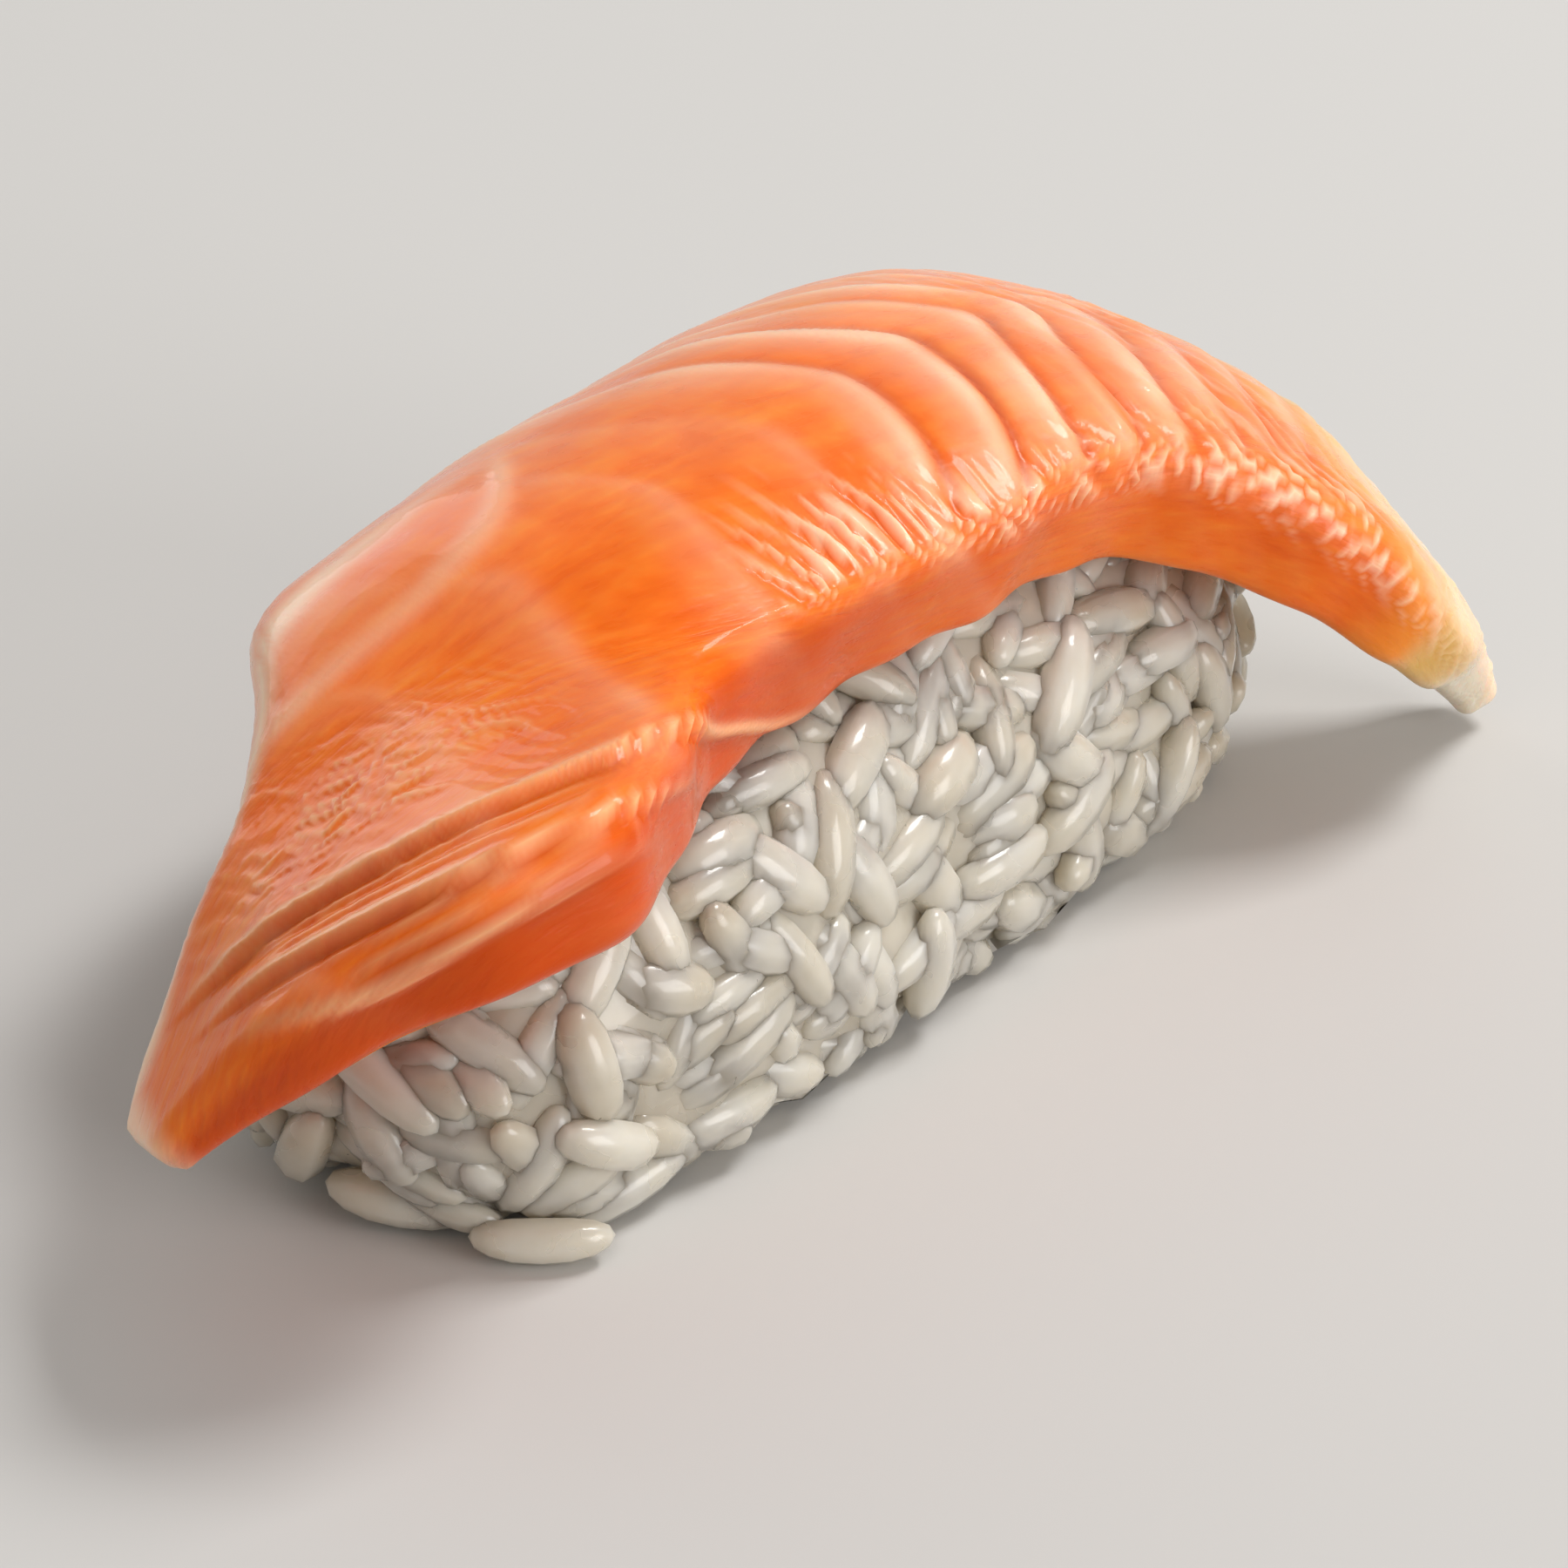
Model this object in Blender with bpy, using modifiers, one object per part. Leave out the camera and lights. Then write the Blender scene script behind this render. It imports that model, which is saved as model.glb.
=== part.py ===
"""A piece of salmon nigiri: a slice of raw salmon draped over a pressed block of vinegared rice.

Metres, +Z up. The origin is on the board under the middle of the rice block. +X runs along the
block towards the slice's free tail, and -Y is the flank that the slice leaves mostly bare.
"""

import math

import bmesh
import bpy
import numpy as np

MM = 0.001
NAME = "salmon_nigiri"

# Rice block: a rounded loaf on a flat foot, widest a third of the way up.
RICE_HALF_LENGTH = 30.8 * MM
RICE_HALF_WIDTH = 12.6 * MM
RICE_HEIGHT = 20.4 * MM
RICE_BELLY = 0.31          # height of the widest level, as a share of the height
RICE_FOOT = 0.9            # size of the foot's outline against the widest level
RICE_SQUARENESS = 3.5      # exponent of the outline seen from above: 2 is an ellipse
RICE_CROWN = 2.1           # exponent of the rounding from the widest level to the top
RICE_SEGMENTS = 104
RICE_RINGS = 26
RICE_FOOT_RINGS = 5
FOOT_EDGE = -math.pi / 2 + math.pi * RICE_FOOT_RINGS / RICE_RINGS   # latitude of the foot's edge
BELLY_CLIMB = 0.2          # share of the rings above the foot that lie under the widest level

# Grains on the block's skin, with gaps between them that sink in.
GRAIN_SPACING = 3.0 * MM
GRAIN_HALF_LENGTH = 2.6 * MM
GRAIN_HALF_WIDTH = 1.5 * MM
GRAIN_DENT = 1.6 * MM      # depth of the deepest gap
GRAIN_FULLNESS = 1.6       # how soon the dents end away from the gaps
SEED = 7

# Salmon slice: its spine climbs over the rice's end, runs along the top and hangs free at the tail.
SLICE_LENGTH = 85.7 * MM
SLICE_START = (-39.8 * MM, 8.5 * MM)   # x and z of the spine's first point
CLIMB = math.radians(41.6)
CLIMB_LENGTH = 26.6 * MM
FALL = math.radians(54.9)
FALL_START = 46.8 * MM

# Values at equal steps along the slice, from the tip on the rice's end to the free tail.
NEAR_WIDTH = np.array([2.2, 15.1, 6.6, 3.4, 2.3, 7.3, 1.2]) * MM
FAR_WIDTH = np.array([2.6, 5.5, 15.8, 23.3, 19.7, 5.9, 1.2]) * MM
NEAR_BEND = np.radians([2.5, 35.6, 27.2])
FAR_BEND = np.radians([72.9, 43.4, 66.8])
ROLL = np.radians([28.0, -26.7])
NEAR_BEND_WIDTH = 23.7 * MM            # distance from the spine over which each side's bend builds up
FAR_BEND_WIDTH = 18.6 * MM
THICKNESS = np.array([2.1, 5.6, 6.8, 6.8, 6.8, 4.9, 2.3]) * MM

SLICE_TURN = math.radians(-11.0)       # the slice lies turned on the block, seen from above
SLICE_SHIFT = -8.0 * MM
SLICE_BOW = 2.9 * MM
SLICE_STEPS = (46, 20)
EDGE_RADIUS = 1.1 * MM
GAP = 0.35 * MM
SOFTNESS = 0.06                        # how gently the slice starts to lie on the rice


def smooth_step(low, high, values):
    """Rise from 0 to 1 between low and high, level at both ends."""
    share = np.clip((values - low) / (high - low), 0.0, 1.0)
    return share * share * (3.0 - 2.0 * share)


def through(stations, share):
    """Smooth curve through equally spaced station values, for a share of 0 to 1 along them."""
    padded = np.concatenate([[2 * stations[0] - stations[1]], stations, [2 * stations[-1] - stations[-2]]])
    place = np.clip(share, 0.0, 1.0) * (len(stations) - 1)
    index = np.minimum(place.astype(int), len(stations) - 2)
    step = place - index
    before, start, end, after = (padded[index + offset] for offset in range(4))
    slope_in = (end - before) / 2
    slope_out = (after - start) / 2
    return (start + slope_in * step
            + (3 * (end - start) - 2 * slope_in - slope_out) * step ** 2
            + (2 * (start - end) + slope_in + slope_out) * step ** 3)


def rice_level(points):
    """Size of the rice outline through each point against the block's own: under 1 is inside."""
    x, y, z = np.moveaxis(points, -1, 0)
    widest = RICE_BELLY * RICE_HEIGHT
    under = np.clip((widest - z) / widest, 0.0, None)
    over = np.clip((z - widest) / (RICE_HEIGHT - widest), 0.0, 1.0)
    size_under = 1.0 - (1.0 - RICE_FOOT) * under ** 2
    size_over = np.clip(1.0 - over ** RICE_CROWN, 1e-9, None) ** (1.0 / RICE_CROWN)
    size = np.where(z < widest, size_under, size_over)
    power = RICE_SQUARENESS
    outline = np.abs(x / RICE_HALF_LENGTH) ** power + np.abs(y / RICE_HALF_WIDTH) ** power
    return outline ** (1.0 / power) / size


def outline_angle(share):
    """Angle of the superellipse outline at which a share of its length, from 0 to 1, has been walked."""
    angle = np.linspace(-math.pi, math.pi, 4001)
    x, y = outline_point(angle)
    length = np.concatenate([[0.0], np.cumsum(np.hypot(np.diff(x), np.diff(y)))])
    return np.interp(share, length / length[-1], angle)


def outline_point(angle):
    """Widest outline of the block, seen from above."""
    cos, sin = np.cos(angle), np.sin(angle)
    power = RICE_SQUARENESS
    reach = (np.abs(cos) ** power + np.abs(sin) ** power) ** (-1.0 / power)
    return RICE_HALF_LENGTH * reach * cos, RICE_HALF_WIDTH * reach * sin


def rice_points(latitude, longitude):
    """Block surface for the angles of a sphere's vertices; the lowest rings make the flat foot."""
    climb = np.clip((latitude - FOOT_EDGE) / (math.pi / 2 - FOOT_EDGE), 0.0, 1.0)
    widest = RICE_BELLY * RICE_HEIGHT
    low = climb < BELLY_CLIMB
    turn = np.clip((climb - BELLY_CLIMB) / (1.0 - BELLY_CLIMB), 0.0, 1.0) * math.pi / 2
    power = 2.0 / RICE_CROWN
    z = np.where(low, widest * climb / BELLY_CLIMB,
                 widest + (RICE_HEIGHT - widest) * np.sin(turn) ** power)
    size = np.where(low, 1.0 - (1.0 - RICE_FOOT) * (1.0 - climb / BELLY_CLIMB) ** 2,
                    np.abs(np.cos(turn)) ** power)
    size = size * np.clip((latitude + math.pi / 2) / (FOOT_EDGE + math.pi / 2), 0.0, 1.0)
    x, y = outline_point(outline_angle(longitude / (2 * math.pi) + 0.5))
    return np.stack([x * size, y * size, z], -1)


def inner_axis(points):
    """Nearest points of the line inside the block that its surface is measured from."""
    inner = np.zeros_like(points)
    inner[..., 0] = np.clip(points[..., 0], -0.55 * RICE_HALF_LENGTH, 0.55 * RICE_HALF_LENGTH)
    inner[..., 2] = 0.8 * RICE_BELLY * RICE_HEIGHT
    return inner


def grain_centres(random):
    """Grains scattered over the block's skin, none nearer to another than their spacing."""
    latitude = random.uniform(FOOT_EDGE, math.pi / 2, 5000)
    longitude = random.uniform(-math.pi, math.pi, 5000)
    candidates = rice_points(latitude, longitude)
    kept = candidates[:1]
    for candidate in candidates[1:]:
        if np.min(np.linalg.norm(kept - candidate, axis=1)) > GRAIN_SPACING:
            kept = np.vstack([kept, candidate])
    return kept


def between_grains(points):
    """Move surface points towards the block's inside where they lie in the gaps between grains."""
    random = np.random.default_rng(SEED)
    centres = grain_centres(random)
    direction = random.normal(size=centres.shape)
    direction /= np.linalg.norm(direction, axis=1, keepdims=True)
    offset = points[:, None] - centres[None]
    along = np.einsum("pgk,gk->pg", offset, direction)
    across = np.sum(offset ** 2, axis=2) - along ** 2
    nearness = np.exp(-(along / GRAIN_HALF_LENGTH) ** 2 - across / GRAIN_HALF_WIDTH ** 2)
    depth = GRAIN_DENT * np.exp(-GRAIN_FULLNESS * nearness.sum(axis=1))
    ray = points - inner_axis(points)
    return points - ray * (depth / np.linalg.norm(ray, axis=1))[:, None]


def clear_of_rice(points):
    """Move points outwards from the block's inner axis until they lie on its surface, plus the gap."""
    inner = inner_axis(points)
    ray = points - inner
    low = np.full(ray.shape[:-1], 0.2)
    high = np.full(ray.shape[:-1], 6.0)
    for _ in range(24):
        middle = (low + high) / 2
        inside = rice_level(inner + ray * middle[..., None]) < 1.0
        low = np.where(inside, middle, low)
        high = np.where(inside, high, middle)
    needed = high + GAP / np.linalg.norm(ray, axis=-1) - 1.0
    push = SOFTNESS * np.logaddexp(0.0, needed / SOFTNESS)
    return inner + ray * (1.0 + push)[..., None]


def slice_underside(along, across):
    """Underside of the slice: along runs 0 to 1 from tip to tail, across -1 to 1 from near edge to far."""
    arc = np.linspace(0.0, SLICE_LENGTH, 600)
    tilt = (CLIMB * (1.0 - smooth_step(0.0, CLIMB_LENGTH, arc))
            - FALL * smooth_step(FALL_START, SLICE_LENGTH, arc))
    step = arc[1] - arc[0]
    spine_x = SLICE_START[0] + step * (np.cumsum(np.cos(tilt)) - np.cos(tilt[0]))
    spine_z = SLICE_START[1] + step * (np.cumsum(np.sin(tilt)) - np.sin(tilt[0]))
    here = along * SLICE_LENGTH
    x, z, tilt = (np.interp(here, arc, values) for values in (spine_x, spine_z, tilt))

    # Cross-section: walk out from the spine while the slice bends down around the block.
    walk = np.linspace(0.0, 1.0, 160)
    near = across < 0.0
    width = np.where(near, through(NEAR_WIDTH, along), through(FAR_WIDTH, along))
    bend = np.where(near, through(NEAR_BEND, along), through(FAR_BEND, along))
    side = np.where(near, -1.0, 1.0)
    bend_width = np.where(near, NEAR_BEND_WIDTH, FAR_BEND_WIDTH)
    reach = np.abs(across)[..., None] * width[..., None] * walk
    angle = (bend[..., None] * smooth_step(0.0, bend_width[..., None], reach)
             + side[..., None] * through(ROLL, along)[..., None])
    level = side * np.mean(np.cos(angle), axis=-1) * reach[..., -1]
    drop = np.mean(np.sin(angle), axis=-1) * reach[..., -1]
    bow = SLICE_BOW * (1.0 - (2.0 * along - 1.0) ** 2)
    x, y, z = x + drop * np.sin(tilt), bow + level, z - drop * np.cos(tilt)
    turn_cos, turn_sin = math.cos(SLICE_TURN), math.sin(SLICE_TURN)
    placed = np.stack([x * turn_cos - y * turn_sin, x * turn_sin + y * turn_cos + SLICE_SHIFT, z], -1)
    return clear_of_rice(placed)


def material(name, colour, roughness):
    """Principled material of one plain colour."""
    result = bpy.data.materials.new(name)
    result.use_nodes = True
    shader = result.node_tree.nodes["Principled BSDF"]
    shader.inputs["Base Color"].default_value = (*colour, 1.0)
    shader.inputs["Roughness"].default_value = roughness
    shader.inputs["Metallic"].default_value = 0.0
    return result


def add_object(name, mesh_builder, collection, look):
    """Fill a mesh from a bmesh, and link it as an object of the collection."""
    mesh = bpy.data.meshes.new(name)
    mesh_builder.to_mesh(mesh)
    mesh_builder.free()
    mesh.shade_smooth()
    mesh.materials.append(look)
    result = bpy.data.objects.new(name, mesh)
    collection.objects.link(result)
    return result


def build_rice(collection):
    """Sphere whose rings are carried onto the block's surface, then dented between the grains."""
    builder = bmesh.new()
    bmesh.ops.create_uvsphere(builder, u_segments=RICE_SEGMENTS, v_segments=RICE_RINGS, radius=1.0)
    ball = np.array([vertex.co for vertex in builder.verts])
    latitude = np.arcsin(np.clip(ball[:, 2], -1.0, 1.0))
    longitude = np.arctan2(ball[:, 1], ball[:, 0])
    points = between_grains(rice_points(latitude, longitude))
    points[latitude < FOOT_EDGE + 0.001, 2] = 0.0
    for vertex, point in zip(builder.verts, points):
        vertex.co = point
    bmesh.ops.recalc_face_normals(builder, faces=builder.faces)
    return add_object("rice", builder, collection, material("vinegared_rice", (0.62, 0.6, 0.54), 0.4))


def build_slice(collection):
    """Open grid carried onto the slice's underside, then given its thickness and rounded edges."""
    builder = bmesh.new()
    steps_along, steps_across = SLICE_STEPS
    bmesh.ops.create_grid(builder, x_segments=steps_along, y_segments=steps_across, size=1.0)
    flat = np.array([vertex.co for vertex in builder.verts])
    along = (flat[:, 0] + 1.0) / 2.0
    points = slice_underside(along, flat[:, 1])
    for vertex, point in zip(builder.verts, points):
        vertex.co = point
    result = add_object("salmon_slice", builder, collection, material("raw_salmon", (0.85, 0.2, 0.05), 0.3))
    group = result.vertex_groups.new(name="thickness")
    for index, thickness in enumerate(through(THICKNESS, along)):
        group.add([index], float(thickness / THICKNESS.max()), "REPLACE")
    shell = result.modifiers.new("thickness", "SOLIDIFY")
    shell.thickness = THICKNESS.max()
    shell.offset = 1.0
    shell.vertex_group = group.name
    edges = result.modifiers.new("rounded_edges", "BEVEL")
    edges.width = EDGE_RADIUS
    edges.segments = 2
    edges.limit_method = "ANGLE"
    edges.angle_limit = math.radians(50.0)
    return result


def main():
    """Clear the scene and build the piece."""
    for leftover in list(bpy.data.objects):
        bpy.data.objects.remove(leftover, do_unlink=True)
    collection = bpy.data.collections.new(NAME)
    bpy.context.scene.collection.children.link(collection)
    build_rice(collection)
    build_slice(collection)


main()
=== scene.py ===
"""One piece of salmon nigiri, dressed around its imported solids.

A slice of raw salmon lies over a pressed block of vinegared rice. The slice is one closed surface,
worked out from its spine and cross-sections, with the flakes' steps, the fat lines' low welts and the
fibres' grain in its mesh. The block is a core of starch with separate cooked grains packed on it.
"""

import logging
import math
from dataclasses import dataclass
from enum import Enum

import bmesh
import bpy
import numpy as np
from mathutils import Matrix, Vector


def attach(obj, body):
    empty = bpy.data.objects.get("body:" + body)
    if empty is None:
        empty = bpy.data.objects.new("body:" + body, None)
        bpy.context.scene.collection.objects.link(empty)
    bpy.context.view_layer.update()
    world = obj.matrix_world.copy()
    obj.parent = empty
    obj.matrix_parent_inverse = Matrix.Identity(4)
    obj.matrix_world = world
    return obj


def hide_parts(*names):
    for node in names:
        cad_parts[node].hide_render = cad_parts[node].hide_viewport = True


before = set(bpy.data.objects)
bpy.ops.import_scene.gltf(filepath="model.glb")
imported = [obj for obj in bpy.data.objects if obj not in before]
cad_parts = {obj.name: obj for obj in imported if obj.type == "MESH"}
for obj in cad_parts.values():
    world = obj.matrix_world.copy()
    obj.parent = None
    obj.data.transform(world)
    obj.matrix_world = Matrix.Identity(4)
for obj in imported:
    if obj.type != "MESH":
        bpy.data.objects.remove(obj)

LOG = logging.getLogger("nigiri")
MM = 0.001
FULL_TURN = 2 * math.pi
BODY = "root"

MERGE_DISTANCE = 0.002 * MM
# Added to lengths and slopes, or kept under shares, so that none of them is 0.
TINY_SIZE = 1e-15
TINY_SHARE = 1e-9
# Range of the frequencies in a random field about its own, and the spreads that it seldom passes.
WAVE_SPREAD = (0.6, 1.5)
WAVE_PEAK = 2.2

Pair = tuple[float, float]
Values = float | np.ndarray


class Slot(Enum):
    """Material slots of the part."""

    RICE = "rice"
    SALMON = "salmon"


# ---------------------------------------------------------------------------------------------
# Small functions of arrays
# ---------------------------------------------------------------------------------------------


def rise(span: tuple[Values, Values], values: np.ndarray) -> np.ndarray:
    """Rise from 0 to 1 across a span, level at both ends: 3s squared less 2s cubed.

    Args:
        span: Where the rise starts and ends.
        values: Points to evaluate.

    Returns:
        The share of the rise at each point.
    """
    low, high = span
    share = np.clip((values - low) / (high - low), 0.0, 1.0)
    return share * share * (3.0 - 2.0 * share)


def fall(span: tuple[Values, Values], values: np.ndarray) -> np.ndarray:
    """Fall from 1 to 0 across a span, the mirror image of a rise."""
    return 1.0 - rise(span, values)


def bell(away: np.ndarray, width: Values) -> np.ndarray:
    """Bell curve, 1 in its middle: e to the minus square of the distance over the width."""
    return np.exp(-(away / width) ** 2)


def mix(start: Values, end: Values, share: np.ndarray) -> np.ndarray:
    """Value that goes evenly from one end to the other as the share goes from 0 to 1."""
    return start + (end - start) * share


@dataclass(frozen=True)
class Bell:
    """Bell curve with a height of its own and a centre away from 0."""

    height: float
    centre: float
    width: float

    def at(self, values: np.ndarray) -> np.ndarray:
        """Height of the curve at each value."""
        return self.height * bell(values - self.centre, self.width)


@dataclass(frozen=True)
class Ease:
    """Value that rises or falls from one size to another across a span."""

    start: float
    end: float
    span: Pair

    def at(self, values: np.ndarray) -> np.ndarray:
        """Size at each value."""
        return mix(self.start, self.end, rise(self.span, values))


@dataclass(frozen=True)
class Window:
    """Share that rises from 0 to 1 across one span and falls back across a later one."""

    start: Pair
    end: Pair

    def at(self, values: np.ndarray) -> np.ndarray:
        """Share at each value."""
        return rise(self.start, values) * fall(self.end, values)


def unit(vectors: np.ndarray) -> np.ndarray:
    """Vectors brought to a length of 1."""
    return vectors / (np.linalg.norm(vectors, axis=-1, keepdims=True) + TINY_SIZE)


def through(stations: tuple[float, ...] | np.ndarray, share: np.ndarray) -> np.ndarray:
    """Smooth curve through equally spaced stations: a cubic between each two, with shared slopes.

    Args:
        stations: Values at equal steps.
        share: Places along the stations, 0 at the first and 1 at the last.

    Returns:
        The curve's value at each place.
    """
    first, last = 2 * stations[0] - stations[1], 2 * stations[-1] - stations[-2]
    padded = np.concatenate([[first], stations, [last]])
    place = np.clip(share, 0.0, 1.0) * (len(stations) - 1)
    index = np.minimum(place.astype(int), len(stations) - 2)
    step = place - index
    before, start, end, after = (padded[index + offset] for offset in range(4))
    slope_in = (end - before) / 2
    slope_out = (after - start) / 2
    return (start + slope_in * step
            + (3 * (end - start) - 2 * slope_in - slope_out) * step ** 2
            + (2 * (start - end) + slope_in + slope_out) * step ** 3)


def wobble(random: np.random.Generator, places: np.ndarray, sizes: tuple[float, ...],
           count: int = 18) -> np.ndarray:
    """Soft random field: a sum of plane waves in random directions, scaled to about -1 to 1.

    Args:
        random: Source of the waves' directions and phases.
        places: Points, with their coordinates on the last axis.
        sizes: Length of a wave along each coordinate.
        count: Number of waves.

    Returns:
        The field at each point.
    """
    direction = random.normal(size=(count, places.shape[-1]))
    direction /= np.linalg.norm(direction, axis=1, keepdims=True)
    direction *= random.uniform(*WAVE_SPREAD, (count, 1))
    phase = random.uniform(0.0, FULL_TURN, count)
    turns = places / np.asarray(sizes) @ direction.T * FULL_TURN + phase
    return np.sin(turns).sum(axis=-1) / math.sqrt(count / 2) / WAVE_PEAK


def linear(code: str) -> tuple[float, float, float, float]:
    """Linear colour of an sRGB hex code, by the standard's own curve.

    Args:
        code: Six hex digits after a hash sign.

    Returns:
        Red, green, blue and an alpha of 1.
    """
    shares = [int(code[start:start + 2], 16) / 255 for start in (1, 3, 5)]
    red, green, blue = (s / 12.92 if s <= 0.04045 else ((s + 0.055) / 1.055) ** 2.4 for s in shares)
    return red, green, blue, 1.0


def sample(grid: np.ndarray, row: np.ndarray, column: np.ndarray) -> np.ndarray:
    """Value of a grid between its points, by straight lines both ways.

    Args:
        grid: Rows by columns by coordinates.
        row: Place along the rows, 0 to 1.
        column: Place along the columns, 0 to 1.

    Returns:
        The value at each place.
    """
    place_row = np.clip(row, 0.0, 1.0) * (grid.shape[0] - 1)
    place_column = np.clip(column, 0.0, 1.0) * (grid.shape[1] - 1)
    first = np.minimum(place_row.astype(int), grid.shape[0] - 2)
    second = np.minimum(place_column.astype(int), grid.shape[1] - 2)
    over = (place_column - second)[..., None]
    upper = mix(grid[first, second], grid[first, second + 1], over)
    lower = mix(grid[first + 1, second], grid[first + 1, second + 1], over)
    return mix(upper, lower, (place_row - first)[..., None])


def loop_normals(points: np.ndarray) -> np.ndarray:
    """Outward normals of a tube of closed loops: the product of its slopes along and round.

    Args:
        points: Stations by loop points by coordinates.

    Returns:
        Unit vectors.
    """
    round_slope = np.roll(points, -1, axis=1) - np.roll(points, 1, axis=1)
    return unit(np.cross(np.gradient(points, axis=0), round_slope))


def tube_faces(loops: int, count: int) -> np.ndarray:
    """Four-sided faces between closed loops that follow one another.

    Args:
        loops: Number of loops.
        count: Number of points in each loop.

    Returns:
        Vertex numbers, four to a face.
    """
    index = np.arange(loops * count).reshape(loops, count)
    after = np.roll(index, -1, axis=1)
    return np.stack([index[:-1], index[1:], after[1:], after[:-1]], -1).reshape(-1, 4)


def make_mesh(name: str, points: np.ndarray, faces: np.ndarray) -> bpy.types.Object:
    """Object at the origin with a smooth mesh.

    Args:
        name: Name of the piece.
        points: Places of the vertices, with x, y and z on the last axis.
        faces: Vertex numbers, four to a face.

    Returns:
        The object, linked to the scene.
    """
    mesh = bpy.data.meshes.new(name)
    sides = faces.shape[1]
    mesh.vertices.add(points.size // 3)
    mesh.vertices.foreach_set("co", np.ascontiguousarray(points, dtype=np.float32).ravel())
    mesh.loops.add(faces.size)
    mesh.loops.foreach_set("vertex_index", np.ascontiguousarray(faces, dtype=np.int32).ravel())
    mesh.polygons.add(len(faces))
    mesh.polygons.foreach_set("loop_start", np.arange(0, faces.size, sides, dtype=np.int32))
    mesh.polygons.foreach_set("loop_total", np.full(len(faces), sides, dtype=np.int32))
    mesh.update(calc_edges=True)
    mesh.validate()
    mesh.shade_smooth()
    piece = bpy.data.objects.new(name, mesh)
    bpy.context.scene.collection.objects.link(piece)
    return piece


def merge_points(piece: bpy.types.Object) -> None:
    """Merge vertices that lie together, so that end loops shrunk to a point close.

    Args:
        piece: The piece, with its attributes already stored.
    """
    builder = bmesh.new()
    builder.from_mesh(piece.data)
    bmesh.ops.remove_doubles(builder, verts=builder.verts, dist=MERGE_DISTANCE)
    builder.to_mesh(piece.data)
    builder.free()


def put_attribute(piece: bpy.types.Object, name: str, values: np.ndarray) -> None:
    """Store a value or a vector for each vertex.

    Args:
        piece: The piece.
        name: Name that its material reads.
        values: One value or three for each vertex, in the vertices' order.
    """
    vector = values.size == 3 * len(piece.data.vertices)
    attribute = piece.data.attributes.new(name, "FLOAT_VECTOR" if vector else "FLOAT", "POINT")
    flat = np.ascontiguousarray(values, np.float32).ravel()
    attribute.data.foreach_set("vector" if vector else "value", flat)


# ---------------------------------------------------------------------------------------------
# Shape of the block that both pieces follow
# ---------------------------------------------------------------------------------------------


@dataclass(frozen=True)
class BlockShape:
    """Pressed rice block: a rounded loaf on a flat foot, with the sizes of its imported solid.

    Its skin is found along rays that start on a short level axis inside it.
    """

    half_length: float = 30.8 * MM
    half_width: float = 12.6 * MM
    height: float = 20.4 * MM
    belly: float = 0.31
    foot: float = 0.9
    squareness: float = 3.5
    crown: float = 2.1
    under_growth: float = 10.0
    axis_share: float = 0.55
    axis_height: float = 0.8
    axis_pull: float = 1.6
    ray_shares: Pair = (0.1, 8.0)
    halvings: int = 26
    slope_step: float = 0.02 * MM

    def level(self, points: np.ndarray) -> np.ndarray:
        """Size of the outline through each point against the block's own, under 1 inside.

        A superellipse in plan, which shrinks upwards from its belly as a second superellipse. Under
        the foot the size grows fast, so nothing there counts as inside.

        Args:
            points: Places, with x, y and z on the last axis.

        Returns:
            The size at each point.
        """
        x, y, z = np.moveaxis(points, -1, 0)
        widest = self.belly * self.height
        under = np.clip((widest - z) / widest, 0.0, None)
        over = np.clip((z - widest) / (self.height - widest), 0.0, 1.0)
        size_under = 1.0 - (1.0 - self.foot) * under ** 2
        size_over = np.clip(1.0 - over ** self.crown, TINY_SHARE, None) ** (1.0 / self.crown)
        size = np.where(z < widest, size_under, size_over)
        power = self.squareness
        outline = np.abs(x / self.half_length) ** power + np.abs(y / self.half_width) ** power
        ends = np.where(z < 0.0, 1.0 - self.under_growth * z / self.height, z / self.height)
        return np.maximum(outline ** (1.0 / power) / size, ends)

    def axis_points(self, x: np.ndarray) -> np.ndarray:
        """Points of the inner axis at places along the block.

        Args:
            x: Places, brought to the axis's ends where they lie past them.

        Returns:
            The points.
        """
        inner = np.zeros(x.shape + (3,))
        end = self.axis_share * self.half_length
        inner[..., 0] = np.clip(x, -end, end)
        inner[..., 2] = self.axis_height * self.belly * self.height
        return inner

    def reach(self, inner: np.ndarray, ray: np.ndarray) -> np.ndarray:
        """Share of each ray at which it leaves the block, found by halving an interval.

        Args:
            inner: Starts of the rays, inside the block.
            ray: The rays.

        Returns:
            The share of each ray that lies inside.
        """
        low, high = (np.full(ray.shape[:-1], share) for share in self.ray_shares)
        for _ in range(self.halvings):
            middle = (low + high) / 2
            inside = self.level(inner + ray * middle[..., None]) < 1.0
            low = np.where(inside, middle, low)
            high = np.where(inside, high, middle)
        return high

    def skin(self, turn: np.ndarray, climb: np.ndarray) -> np.ndarray:
        """Skin of the block: rays from its inner axis in every direction, cut where they leave it.

        Args:
            turn: Angle round the block, seen from above.
            climb: Angle up from level.

        Returns:
            The points.
        """
        level = np.cos(climb)
        ray = np.stack([np.cos(turn) * level, np.sin(turn) * level, np.sin(climb)], -1) * self.height
        inner = self.axis_points(self.axis_share * self.half_length * self.axis_pull * np.cos(turn))
        return inner + ray * self.reach(inner, ray)[..., None]

    def outward(self, points: np.ndarray) -> np.ndarray:
        """Outward direction of the block's skin: the slope of its level, by small steps.

        Args:
            points: Places on or near the skin.

        Returns:
            Unit vectors.
        """
        steps = self.slope_step * np.eye(3)
        return unit(np.stack([self.level(points + step) - self.level(points - step) for step in steps], -1))


# ---------------------------------------------------------------------------------------------
# Salmon slice: what shows on its surface. Sizes in these patterns are in millimetres.
# ---------------------------------------------------------------------------------------------


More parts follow.
